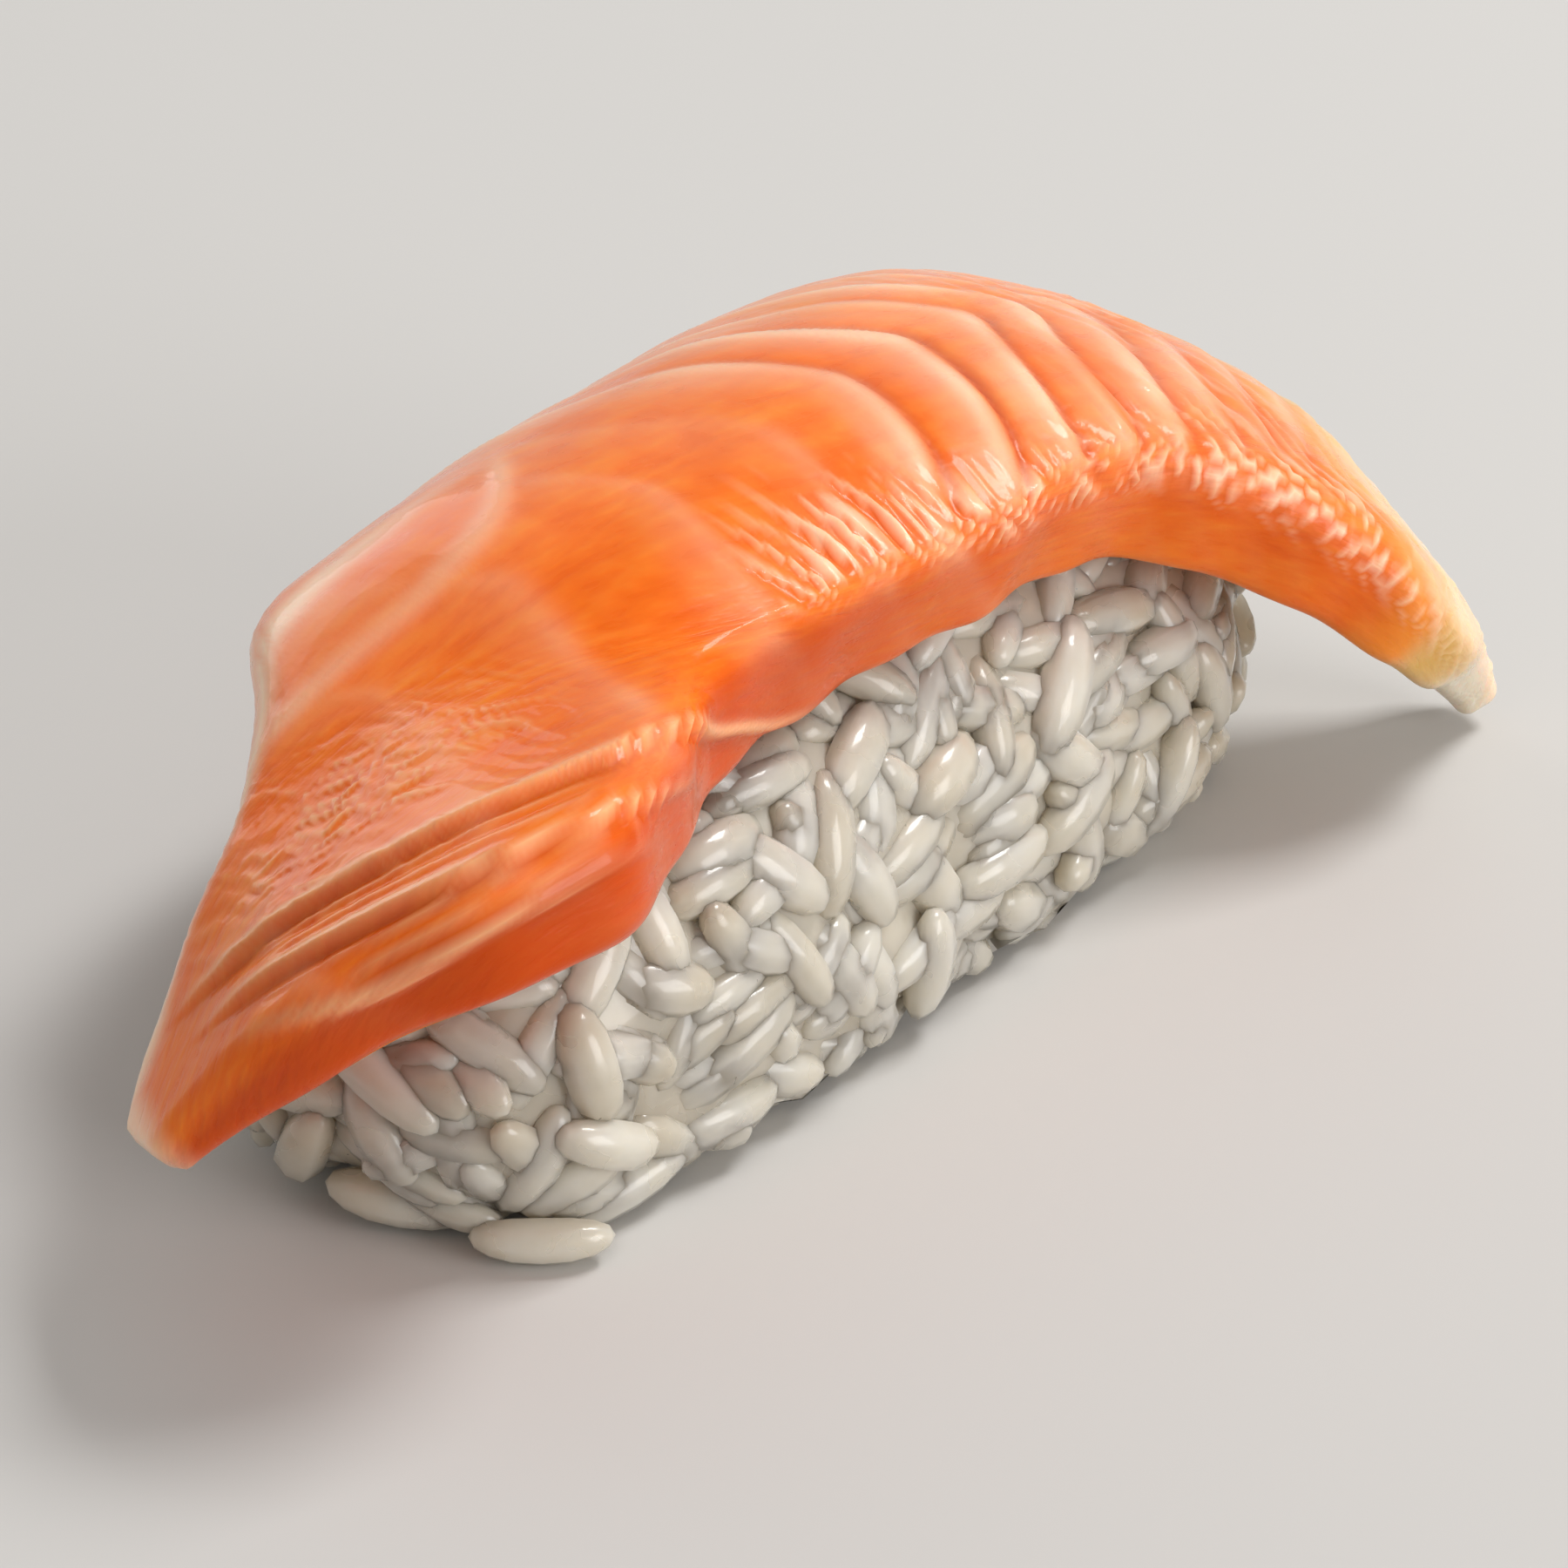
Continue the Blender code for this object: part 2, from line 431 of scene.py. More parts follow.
@dataclass(frozen=True)
class SlicePlaces:
    """Where each point of the slice's surface lies, stations by loop points, in millimetres.

    The distance across is carried on down the side faces, so that a pattern runs on over the edge.
    """

    along: np.ndarray
    across: np.ndarray
    down: np.ndarray
    near_width: np.ndarray
    far_width: np.ndarray
    from_far: np.ndarray
    on_near: np.ndarray
    on_far: np.ndarray
    on_under: np.ndarray


@dataclass(frozen=True)
class FatLines:
    """Pale fat between the flakes: nested arcs that bulge towards the tail, and one seam, with a painted
    sheen over the far side.

    Each arc has its place along the slice and its strength.
    """

    arcs: tuple[tuple[float, float], ...] = (
        (12.0, 0.2), (20.0, 0.22), (26.5, 0.25), (34.0, 0.3), (40.0, 0.25), (45.5, 0.85), (49.8, 1.0),
        (53.7, 1.0), (57.2, 0.9), (60.4, 0.85), (63.2, 0.7), (65.8, 0.6), (68.3, 0.55), (70.7, 0.5),
        (73.0, 0.45), (75.5, 0.4))
    crown_run: Pair = (37.0, 57.0)
    crown_place: Pair = (3.0, 8.0)
    far_slope: float = 1.7
    far_round: float = 6.0
    near_slope: float = 0.36
    near_round: float = 1.0
    drift: float = 0.5
    drift_size: Pair = (14.0, 9.0)
    band: Bell = Bell(1.0, 0.0, 0.7)
    haze: Bell = Bell(0.45, -1.2, 1.1)
    crease: Bell = Bell(1.3, 1.0, 0.3)
    crease_least: float = 0.25
    crease_wave: float = 0.2
    crease_wave_length: float = 1.7
    crease_across: Window = Window((-4.0, 0.0), (6.0, 11.0))
    seam: tuple[float, ...] = (6.6, 6.0, 5.4, 5.1, 6.2, 9.5)
    seam_run: Pair = (10.0, 35.0)
    seam_shown: Window = Window((9.0, 14.0), (31.0, 36.0))
    seam_band: Bell = Bell(0.75, 0.0, 0.55)
    # Painted sheen: paler towards the far side, fading out towards the tail.
    sheen_veil: Ease = Ease(0.0, 0.24, (0.0, 11.0))
    sheen_veil_end: Pair = (58.0, 68.0)
    over_sheen_veil: float = 0.6
    near_strength: Ease = Ease(0.25, 1.0, (-3.0, 3.5))
    near_fade_run: Pair = (38.0, 48.0)
    usual: float = 0.8
    patchiness: float = 0.35
    patch_size: Pair = (9.0, 5.0)

    def phase(self, s: np.ndarray, t: np.ndarray) -> np.ndarray:
        """Value that is constant along each arc, and grows by the distance along at its crown.

        The distance along plus two hyperbolas of the distance from the crown, steep on the far side
        and shallow on the near one.

        Args:
            s: Distance along.
            t: Distance across.

        Returns:
            The value at each place.
        """
        offset = t - np.interp(s, self.crown_run, self.crown_place)
        far = self.far_slope * (np.sqrt(offset ** 2 + self.far_round) - math.sqrt(self.far_round))
        near = self.near_slope * (np.sqrt(offset ** 2 + self.near_round) - math.sqrt(self.near_round))
        return s + np.where(offset > 0.0, far, near)

    def amounts(self, s: np.ndarray, t: np.ndarray,
                random: np.random.Generator) -> tuple[np.ndarray, np.ndarray]:
        """Fat and creases at each place: bells across the phase, one for each arc.

        A band is a narrow bell on its arc with a wide faint one behind it. A crease is a narrower bell just
        ahead of a strong arc. A faint painted sheen lies over the far side.

        Args:
            s: Distance along.
            t: Distance across.
            random: Source of the arcs' unevenness.

        Returns:
            Amount of fat with the painted sheen, and amount of crease, 0 to 1.
        """
        places = np.stack([s, t], -1)
        phase = self.phase(s, t) + self.drift * wobble(random, places, self.drift_size)
        fat = np.zeros_like(s)
        crease = np.zeros_like(s)
        for place, strength in self.arcs:
            away = phase - place
            fat = np.maximum(fat, strength * (self.band.at(away) + self.haze.at(away)))
            wave = self.crease_wave * np.sin(t / self.crease_wave_length + place)
            crease = np.maximum(crease, max(strength - self.crease_least, 0.0) * self.crease.at(away - wave))
        seam_start, seam_end = self.seam_run
        seam = through(self.seam, (s - seam_start) / (seam_end - seam_start))
        fat = np.maximum(fat, self.seam_shown.at(s) * self.seam_band.at(t - seam))
        # Painted sheen over the far side, in the pale colour of the fat.
        fat = np.maximum(fat, self.sheen_veil.at(t) * fall(self.sheen_veil_end, s) + self.over_sheen_veil * fat)
        fat = fat * mix(1.0, self.near_strength.at(t), rise(self.near_fade_run, s))
        patches = self.usual + self.patchiness * wobble(random, places, self.patch_size)
        crease = crease * patches * self.crease_across.at(t)
        return np.clip(fat * patches, 0.0, 1.0), np.clip(crease, 0.0, 1.0)


@dataclass(frozen=True)
class FlakeSteps:
    """Steps where the fish's flakes overlap on the near side by the tip, as shingles do.

    Three lip lines fan out from the tip, each given by its distance across at equal steps along.
    """

    run: Pair = (4.0, 34.0)
    lines: tuple[tuple[float, ...], ...] = (
        (1.4, -4.6, -9.4, -11.1, -11.2, -11.2, -11.3),
        (-1.6, -8.4, -13.4, -14.6, -14.2, -13.9, -13.6),
        (-4.4, -13.4, -16.9, -16.9, -16.6, -16.6, -16.6))
    shown: tuple[Window, ...] = tuple(
        Window((4.0, 9.0), end) for end in ((30.0, 39.0), (17.0, 26.0), (12.0, 21.0)))
    edge: Pair = (-0.3, 0.12)
    lip_height: float = 0.42
    lip_length: float = 1.7
    lip: Bell = Bell(1.0, 0.3, 0.35)
    groove_depth: float = 0.34
    groove_length: float = 1.1
    groove: Bell = Bell(1.0, -0.5, 0.5)
    ridges: int = 3
    ridge_height: float = 0.09
    ridge_lip: float = 0.5
    ridge_along: Window = Window((6.0, 11.0), (15.0, 21.0))
    ridge_across: Window = Window((0.1, 0.4), (0.8, 0.95))

    def relief(self, s: np.ndarray, t: np.ndarray) -> tuple[np.ndarray, np.ndarray, np.ndarray]:
        """Height of the steps: up a lip that fades away from its line, down a groove just past it.

        Between one line and the next, a sine of the distance adds fine ridges.

        Args:
            s: Distance along.
            t: Distance across.

        Returns:
            Height, and how much each place belongs to a lip and to a groove, 0 to 1.
        """
        start, end = self.run
        lines = [through(line, (s - start) / (end - start)) for line in self.lines]
        height, lips, grooves = (np.zeros_like(s) for _ in range(3))
        for line, window in zip(lines, self.shown):
            # The end caps' stations lie at one place, so their difference along is 0.
            slope = np.gradient(line, axis=0) / (np.gradient(s, axis=0) + TINY_SHARE)
            away = (t - line) / np.sqrt(1.0 + slope ** 2)
            shown = window.at(s)
            lip = np.exp(-np.clip(away, 0.0, None) / self.lip_length) * rise(self.edge, away)
            groove = np.exp(-np.clip(-away, 0.0, None) / self.groove_length) * fall(self.edge, away)
            height += shown * (self.lip_height * lip - self.groove_depth * groove)
            lips = np.maximum(lips, shown * self.lip.at(away))
            grooves = np.maximum(grooves, shown * self.groove.at(away))
        for upper, lower in zip(lines[:-1], lines[1:]):
            share = (t - lower) / (upper - lower)
            shown = self.ridge_across.at(share) * self.ridge_along.at(s)
            crest = np.sin(share * self.ridges * FULL_TURN)
            height += self.ridge_height * shown * crest
            lips = np.maximum(lips, self.ridge_lip * shown * np.clip(crest, 0.0, 1.0))
        return height, lips, grooves


@dataclass(frozen=True)
class MuscleFibres:
    """Muscle fibres that the knife has cut: short strokes along the near edge and over the tail.

    By the tip they are a patch of small flecks instead. The patch is a little golden, and painted highlights
    lie pale and golden on the strokes' and flecks' tops.
    """

    spacing: Pair = (1.15, 0.71)
    second_wave: float = 0.5
    second_phase: float = 1.3
    lean: float = 0.22
    bend: float = 0.65
    bend_size: Pair = (4.5, 7.0)
    edge_inset: Ease = Ease(3.4, -0.4, (34.0, 56.0))
    edge_width: Ease = Ease(2.4, 3.6, (48.0, 58.0))
    edge_start: Pair = (30.0, 37.0)
    patch: tuple[Bell, Bell] = (Bell(1.0, 15.0, 6.5), Bell(1.0, -3.0, 5.5))
    patch_height: float = 0.75
    fleck_height: float = 0.7
    fleck_spacing: float = 0.95
    fleck_lean: float = 0.6
    fleck_bend: float = 2.6
    fleck_size: Pair = (2.4, 2.0)
    tail_start: Pair = (52.0, 62.0)
    tail_height: float = 0.6
    least: float = 0.03
    uneven_size: Pair = (2.6, 4.0)
    crest: Pair = (0.0, 1.1)
    crest_uneven: Pair = (0.9, 0.3)
    shine_drops: tuple[Ease, ...] = (Ease(0.0, 0.4, (48.0, 56.0)), Ease(0.0, 0.6, (64.0, 74.0)))
    patch_shine: float = 0.34
    tail_shine: float = 0.35
    highlight_between: float = 0.08
    patch_gold_and_glint: float = 0.3
    gold_between: float = 0.15
    height_usual: float = 0.7
    height_uneven: Pair = (0.6, 0.18)
    height_range: Pair = (0.1, 1.3)

    def strokes(self, s: np.ndarray, t: np.ndarray, near_width: np.ndarray,
                random: np.random.Generator) -> tuple[np.ndarray, np.ndarray, np.ndarray]:
        """Strokes across the near edge, about 1 mm apart.

        Two sines of the distance along, bent by a slow random field, whose strength is a bell along
        the near edge, an oval patch by the tip and a share of the tail. Pairs of values go from the
        first at the edge to the second in the patch.

        Args:
            s: Distance along.
            t: Distance across.
            near_width: Width of the near side at each place.
            random: Source of the strokes' unevenness.

        Returns:
            Height, -1 to 1, the painted highlight on the strokes' tops, and how golden, partly painted
            highlight, 0 to 1.
        """
        places = np.stack([s, t], -1)
        bent = s + self.lean * t + self.bend * wobble(random, places, self.bend_size)
        first, second = (bent * FULL_TURN / spacing for spacing in self.spacing)
        strokes = np.sin(first) + self.second_wave * np.sin(second + self.second_phase)
        edge = bell(t + near_width - self.edge_inset.at(s), self.edge_width.at(s)) * rise(self.edge_start, s)
        patch = self.patch[0].at(s) * self.patch[1].at(t)
        fleck_bend = self.fleck_bend * wobble(random, places, self.fleck_size)
        flecks = np.sin((s + self.fleck_lean * t) * FULL_TURN / self.fleck_spacing + fleck_bend)
        strokes = mix(strokes, self.fleck_height * flecks, patch)
        tail = rise(self.tail_start, s)
        amount = np.clip(edge + self.patch_height * patch + self.tail_height * tail, self.least, 1.0)
        uneven = wobble(random, places, self.uneven_size)
        # Painted highlights: pale on the strokes' tops, strongest along the near edge, and golden in the
        # patch.
        kept = 1.0 - sum(drop.at(s) for drop in self.shine_drops)
        shine = np.clip(edge * kept + self.patch_shine * patch + self.tail_shine * tail, 0.0, 1.0)
        crest = rise(self.crest, strokes + mix(*self.crest_uneven, patch) * uneven)
        pale = shine * mix(self.highlight_between, 1.0, crest)
        gold_and_glint = self.patch_gold_and_glint * patch * mix(self.gold_between, 1.0, crest)
        varied = self.height_usual + mix(*self.height_uneven, patch) * uneven
        return strokes * amount * np.clip(varied, *self.height_range), pale, gold_and_glint


@dataclass(frozen=True)
class PaleEdgesAndRimHighlights:
    """Where the flesh turns pale along its edges: the far rim, the brow, the tail's top and the tip. The far
    rim and the tail's top are pale edges with painted rim highlights.

    The brow is a pale line that runs in from the far edge near the tip.
    """

    rim: Bell = Bell(1.0, 0.0, 1.3)
    rim_end: Pair = (36.0, 44.0)
    rim_down: Pair = (0.4, 1.6)
    brow: tuple[float, ...] = (2.4, 2.0, 3.0, 4.3, 6.2, 8.3)
    brow_run: float = 20.0
    brow_inset: float = 0.4
    brow_width: Ease = Ease(1.1, 0.65, (10.0, 22.0))
    brow_end: Pair = (20.0, 38.0)
    tail: Ease = Ease(0.0, 0.75, (66.0, 75.0))
    tail_down: Pair = (0.3, 1.3)
    tip: Ease = Ease(0.9, 0.0, (0.2, 2.7))
    tip_lean: float = 0.3
    tip_half_width: float = 4.0

    def amount(self, at: SlicePlaces) -> np.ndarray:
        """Paleness of the edges, with painted rim highlights, the largest of four bells and steps.

        Args:
            at: Places on the surface.

        Returns:
            Amount at each place, 0 to 1.
        """
        s, shown = at.along, 1.0 - at.on_under
        # Pale far rim by the tip, with a painted rim highlight.
        rim = self.rim.at(at.from_far) * fall(self.rim_end, s) * fall(self.rim_down, at.down)
        brow = np.minimum(at.far_width - self.brow_inset, through(self.brow, s / self.brow_run))
        line = bell(at.across - brow, self.brow_width.at(s)) * fall(self.brow_end, s)
        # Pale top of the thin tail, with a painted rim highlight.
        tail = self.tail.at(s) * fall(self.tail_down, at.down)
        sideways = np.clip(at.across, -self.tip_half_width, self.tip_half_width)
        tip = self.tip.at(s - self.tip_lean * sideways)
        return np.maximum(np.maximum(np.maximum(rim, line), tail) * shown, tip)


# ---------------------------------------------------------------------------------------------
# Salmon slice: its shape
# ---------------------------------------------------------------------------------------------


@dataclass(frozen=True)
class EdgeWaves:
    """Small waves of an edge cut by hand: two sines of the distance along, in millimetres."""

    height: float
    lengths: Pair
    phases: Pair
    second_share: float

    def at(self, s: np.ndarray) -> np.ndarray:
        """How far the edge stands out at places along the slice."""
        first, second = (np.sin(s / length + phase) for length, phase in zip(self.lengths, self.phases))
        return self.height * (first + self.second_share * second)


@dataclass(frozen=True)
class SlicePatterns:
    """What shows at each point of the slice's surface: heights in millimetres, amounts 0 to 1."""

    fat: np.ndarray
    crease: np.ndarray
    step_height: np.ndarray
    lips: np.ndarray
    grooves: np.ndarray
    strokes: np.ndarray
    pale: np.ndarray
    gold_and_glint: np.ndarray
    on_top: np.ndarray
    cut: np.ndarray


@dataclass(frozen=True)
class SalmonSlice:
    """Slice of raw salmon over the block, one closed surface from its tip to its free tail.

    Its spine climbs, runs level and falls by angles that ease from one to the next. Cross-sections
    bend down on both sides of the spine. What would lie in the rice is moved out to the rice's skin.
    Tuples of widths and thicknesses, in millimetres, and of bends and rolls, in degrees, are at equal
    steps from the tip to the tail. Sizes of the relief and the colours are in millimetres too.
    """

    block: BlockShape
    fat_lines: FatLines = FatLines()
    flake_steps: FlakeSteps = FlakeSteps()
    fibres: MuscleFibres = MuscleFibres()
    pale_edges: PaleEdgesAndRimHighlights = PaleEdgesAndRimHighlights()

    # The spine, its cross-sections and their place on the block.
    length: float = 85.7 * MM
    start: Pair = (-39.8 * MM, 8.5 * MM)
    climb_angle: float = math.radians(41.6)
    climb_length: float = 26.6 * MM
    fall_angle: float = math.radians(54.9)
    fall_start: float = 46.8 * MM
    near_width: tuple[float, ...] = (2.2, 15.1, 6.6, 3.4, 2.3, 7.3, 1.2)
    far_width: tuple[float, ...] = (2.6, 5.5, 15.8, 23.3, 19.7, 5.9, 1.2)
    thickness: tuple[float, ...] = (2.1, 5.6, 6.8, 6.8, 6.8, 4.9, 2.3)
    flap: Bell = Bell(1.3, 25.0, 4.5)
    near_waves: EdgeWaves = EdgeWaves(0.25, (2.3, 0.93), (0.0, 1.0), 0.7)
    far_waves: EdgeWaves = EdgeWaves(0.3, (2.9, 1.1), (2.0, 0.0), 0.6)
    wave_ends: float = 8.0
    near_bend: tuple[float, ...] = (2.5, 35.6, 27.2)
    far_bend: tuple[float, ...] = (72.9, 43.4, 66.8)
    roll: Pair = (28.0, -26.7)
    near_bend_width: float = 23.7 * MM
    far_bend_width: float = 18.6 * MM
    turn: float = math.radians(-11.0)
    shift: float = -8.0 * MM
    bow: float = 2.9 * MM
    gap: float = 0.35 * MM
    softness: float = 0.06

    # Rounded corners and ends.
    rim_radius: float = 2.3 * MM
    foot_radius: float = 1.1 * MM
    end_radius: float = 0.5 * MM
    corner_of_thickness: float = 0.46
    corner_of_width: float = 0.3

    # Points of the mesh.
    stations: int = 330
    top_points: int = 120
    corner_points: int = 7
    face_points: int = 16
    under_points: int = 50
    cap_rings: int = 7
    sheet_stations: int = 260
    sheet_columns: int = 150
    spine_steps: int = 800
    walk_steps: int = 120
    seed: int = 3

    # How the patterns run over the edges, and how high they stand.
    layer_lean: float = 1.1
    top_fade: tuple[Ease, Ease] = (Ease(0.8, 1.1, (50.0, 60.0)), Ease(2.6, 3.2, (50.0, 60.0)))
    far_top_fade: float = 0.6
    near_face_fat: float = 0.3
    cut_down: Pair = (0.4, 1.6)
    under_cut: float = 0.6
    face_steps: float = 0.6
    welt_height: float = 0.22
    crease_depth: float = 0.25
    stroke_height: Ease = Ease(0.25, 0.11, (50.0, 60.0))
    under_strokes: float = 0.4
    swell_height: float = 0.14
    swell_size: float = 9.0
    under_swell: float = 0.2
    relief_ends: Pair = (0.0, 2.5)

    # Where the colours show, painted shade and highlights among them.
    # Painted shade: the cut side faces and the underside darker, most of all towards the tip.
    side_depth_and_shade: Ease = Ease(0.9, 0.25, (28.0, 54.0))
    warm_face: Ease = Ease(0.0, 0.07, (38.0, 52.0))
    warm_face_down: Pair = (1.8, 5.0)
    tail_colour_start: float = 64.8
    tail_colour_length: float = 12.0
    tail_colour_lean: float = 0.2
    tail_colour_drift: float = 1.2
    tail_colour_size: float = 5.0
    fat_strength: float = 0.8
    fat_under_cut: float = 0.35
    # Painted highlights: the flakes' lips and the fibres' crests paler and a little golden.
    lip_highlight: float = 0.42
    stroke_highlight: float = 0.92
    lip_highlight_gold: float = 0.2
    groove_shade: float = 0.6

    def outline(self, along: np.ndarray) -> tuple[np.ndarray, np.ndarray, np.ndarray]:
        """Width on the near side, width on the far side and thickness at places along the slice.

        Each is a smooth curve through its stations. The near side has a low flap by the tip, and
        both edges have small waves away from the ends.

        Args:
            along: 0 at the tip, 1 at the tail.

        Returns:
            The three sizes.
        """
        near, far, thick = (through(sizes, along)
                            for sizes in (self.near_width, self.far_width, self.thickness))
        s = along * self.length / MM
        end = self.length / MM
        inside = rise((0.0, self.wave_ends), s) * fall((end - self.wave_ends, end), s)
        near = near + self.flap.at(s) + inside * self.near_waves.at(s)
        far = far + inside * self.far_waves.at(s)
        return near * MM, far * MM, thick * MM

    def spine(self, along: np.ndarray) -> tuple[np.ndarray, np.ndarray, np.ndarray]:
        """Spine of the underside, its tilt summed up along it.

        Args:
            along: 0 at the tip, 1 at the tail.

        Returns:
            Place along the block, height and tilt.
        """
        arc = np.linspace(0.0, self.length, self.spine_steps)
        tilt = (self.climb_angle * fall((0.0, self.climb_length), arc)
                - self.fall_angle * rise((self.fall_start, self.length), arc))
        x = self.start[0] + arc[1] * (np.cumsum(np.cos(tilt)) - np.cos(tilt[0]))
        z = self.start[1] + arc[1] * (np.cumsum(np.sin(tilt)) - np.sin(tilt[0]))
        return tuple(np.interp(along * self.length, arc, values) for values in (x, z, tilt))

    def underside(self, along: np.ndarray, across: np.ndarray) -> np.ndarray:
        """Underside of the slice: the spine, walked out sideways while the section bends down.

        The bend's angle is averaged across the walk. The result is turned and shifted on the block,
        then pushed outwards by a soft maximum until it clears the rice.

        Args:
            along: 0 at the tip, 1 at the tail.
            across: Signed distance from the spine, with the near side below 0.

        Returns:
            The points.
        """
        x, z, tilt = self.spine(along)
        near = across < 0.0
        near_bend, far_bend, roll = (through(np.radians(angles), along)
                                     for angles in (self.near_bend, self.far_bend, self.roll))
        side = np.where(near, -1.0, 1.0)
        bend_width = np.where(near, self.near_bend_width, self.far_bend_width)
        walked = np.abs(across)[..., None] * np.linspace(0.0, 1.0, self.walk_steps)
        angle = (np.where(near, near_bend, far_bend)[..., None] * rise((0.0, bend_width[..., None]), walked)
                 + (side * roll)[..., None])
        level = side * np.mean(np.cos(angle), axis=-1) * np.abs(across)
        drop = np.mean(np.sin(angle), axis=-1) * np.abs(across)
        bow = self.bow * (1.0 - (2.0 * along - 1.0) ** 2)
        x, y, z = x + drop * np.sin(tilt), bow + level, z - drop * np.cos(tilt)
        cos, sin = math.cos(self.turn), math.sin(self.turn)
        placed = np.stack([x * cos - y * sin, x * sin + y * cos + self.shift, z], -1)
        inner = self.block.axis_points(placed[..., 0])
        ray = placed - inner
        needed = self.block.reach(inner, ray) + self.gap / np.linalg.norm(ray, axis=-1) - 1.0
        push = self.softness * np.logaddexp(0.0, needed / self.softness)
        return inner + ray * (1.0 + push)[..., None]

    def section(self, near: np.ndarray, far: np.ndarray, thick: np.ndarray) -> tuple[np.ndarray, np.ndarray]:
        """Closed outline of each cross-section, as distance across and height above the underside.

        A rectangle with quarter circles at its corners: over the top from near to far, down the far
        face, back along the underside and up the near face.

        Args:
            near: Widths on the near side, one for each station.
            far: Widths on the far side.
            thick: Thicknesses.

        Returns:
            Distances across and heights, stations by points.
        """
        left, right, top = -near[:, None], far[:, None], thick[:, None]
        room = np.minimum(self.corner_of_thickness * top, self.corner_of_width * (right - left))
        rim, foot = np.minimum(self.rim_radius, room), np.minimum(self.foot_radius, room)
        quarter = (np.arange(self.corner_points) + 0.5) / self.corner_points * math.pi / 2
        cos, sin = np.cos(quarter)[None], np.sin(quarter)[None]
        run, back, face = (np.linspace(0.0, 1.0, count)[None]
                           for count in (self.top_points, self.under_points, self.face_points))
        width, tall = right - left, top - rim - foot
        across = [left + rim + (width - 2 * rim) * run, right - rim + rim * sin, right + 0 * face,
                  right - foot + foot * cos, right - foot - (width - 2 * foot) * back,
                  left + foot - foot * sin, left + 0 * face, left + rim - rim * cos]
        height = [top + 0 * run, top - rim + rim * cos, top - rim - tall * face,
                  foot - foot * sin, 0 * back + 0 * top, foot - foot * cos,
                  foot + tall * face, top - rim + rim * sin]
        return np.concatenate(across, axis=1), np.concatenate(height, axis=1)

    def loop_places(self) -> tuple[np.ndarray, np.ndarray]:
        """Place of each loop along the slice, and how far it has opened from a point.

        The first and last loops lie at the ends and open evenly, so they make two flat caps.

        Returns:
            Places, 0 at the tip and 1 at the tail, and openings, 0 to 1.
        """
        inner = np.linspace(0.0, 1.0, self.stations - 2 * self.cap_rings)
        share = np.concatenate([np.zeros(self.cap_rings), inner, np.ones(self.cap_rings)])
        opened = np.ones(self.stations)
        opened[:self.cap_rings] = np.arange(self.cap_rings) / self.cap_rings
        opened[-self.cap_rings:] = opened[:self.cap_rings][::-1]
        return share, opened

    def loops(self, share: np.ndarray, opened: np.ndarray) -> tuple[np.ndarray, np.ndarray]:
        """Cross-sections along the slice, narrowed by a quarter circle towards each end.

        Args:
            share: Places along the slice, 0 to 1.
            opened: How far each loop has opened from a point, 0 to 1.

        Returns:
            Distances across and heights, stations by points.
        """
        near, far, thick = self.outline(share)
        across, height = self.section(near, far, thick)
        from_end = np.minimum(share, 1.0 - share) * self.length
        short = 1.0 - np.clip(from_end / self.end_radius, 0.0, 1.0)
        inset = 2.0 * self.end_radius * (1.0 - np.sqrt(1.0 - short ** 2))
        centre, middle = ((far - near) / 2)[:, None], (thick / 2)[:, None]
        narrowed = (opened * (1.0 - inset / (near + far)))[:, None]
        flattened = (opened * (1.0 - inset / thick))[:, None]
        return centre + (across - centre) * narrowed, middle + (height - middle) * flattened

    def lay(self, share: np.ndarray, across: np.ndarray, height: np.ndarray) -> np.ndarray:
        """Points of the loops, each up from the underside along its normal by the point's height.

        The underside is worked out on an even grid and read between the grid's points.

        Args:
            share: Places along the slice, 0 to 1.
            across: Distances across, stations by points.
            height: Heights, stations by points.

        Returns:
            The points.
        """
        columns = np.linspace(0.0, 1.0, self.sheet_columns)
        even = np.linspace(0.0, 1.0, self.sheet_stations)
        near, far, _ = self.outline(even)
        grid = -near[:, None] + (near + far)[:, None] * columns
        sheet = self.underside(np.repeat(even[:, None], self.sheet_columns, 1), grid)
        normal = unit(np.cross(np.gradient(sheet, axis=0), np.gradient(sheet, axis=1)))
        near, far, _ = self.outline(share)
        row = np.repeat(share[:, None], across.shape[1], 1)
        column = (across + near[:, None]) / (near + far)[:, None]
        return sample(sheet, row, column) + unit(sample(normal, row, column)) * height[..., None]

    def find_places(self, share: np.ndarray, across: np.ndarray, height: np.ndarray) -> SlicePlaces:
        """Where each point of the loops lies on the slice.

        Args:
            share: Places along the slice, 0 to 1.
            across: Distances across, stations by points.
            height: Heights, stations by points.

        Returns:
            The places, in millimetres.
        """
        near, far, thick = (sizes[:, None] / MM for sizes in self.outline(share))
        across = across / MM
        down = thick - height / MM
        loop = np.arange(across.shape[1])
        far_end = self.top_points + 2 * self.corner_points + self.face_points
        under_end = far_end + self.under_points
        on_far, on_near = (loop >= self.top_points) & (loop < far_end), loop >= under_end
        return SlicePlaces(
            along=np.repeat(share[:, None] * self.length / MM, across.shape[1], 1),
            across=across + np.where(on_far, down, 0.0) - np.where(on_near, down, 0.0),
            down=down, near_width=near, far_width=far, from_far=far - across,
            on_near=on_near, on_far=on_far, on_under=(loop >= far_end) & (loop < under_end))

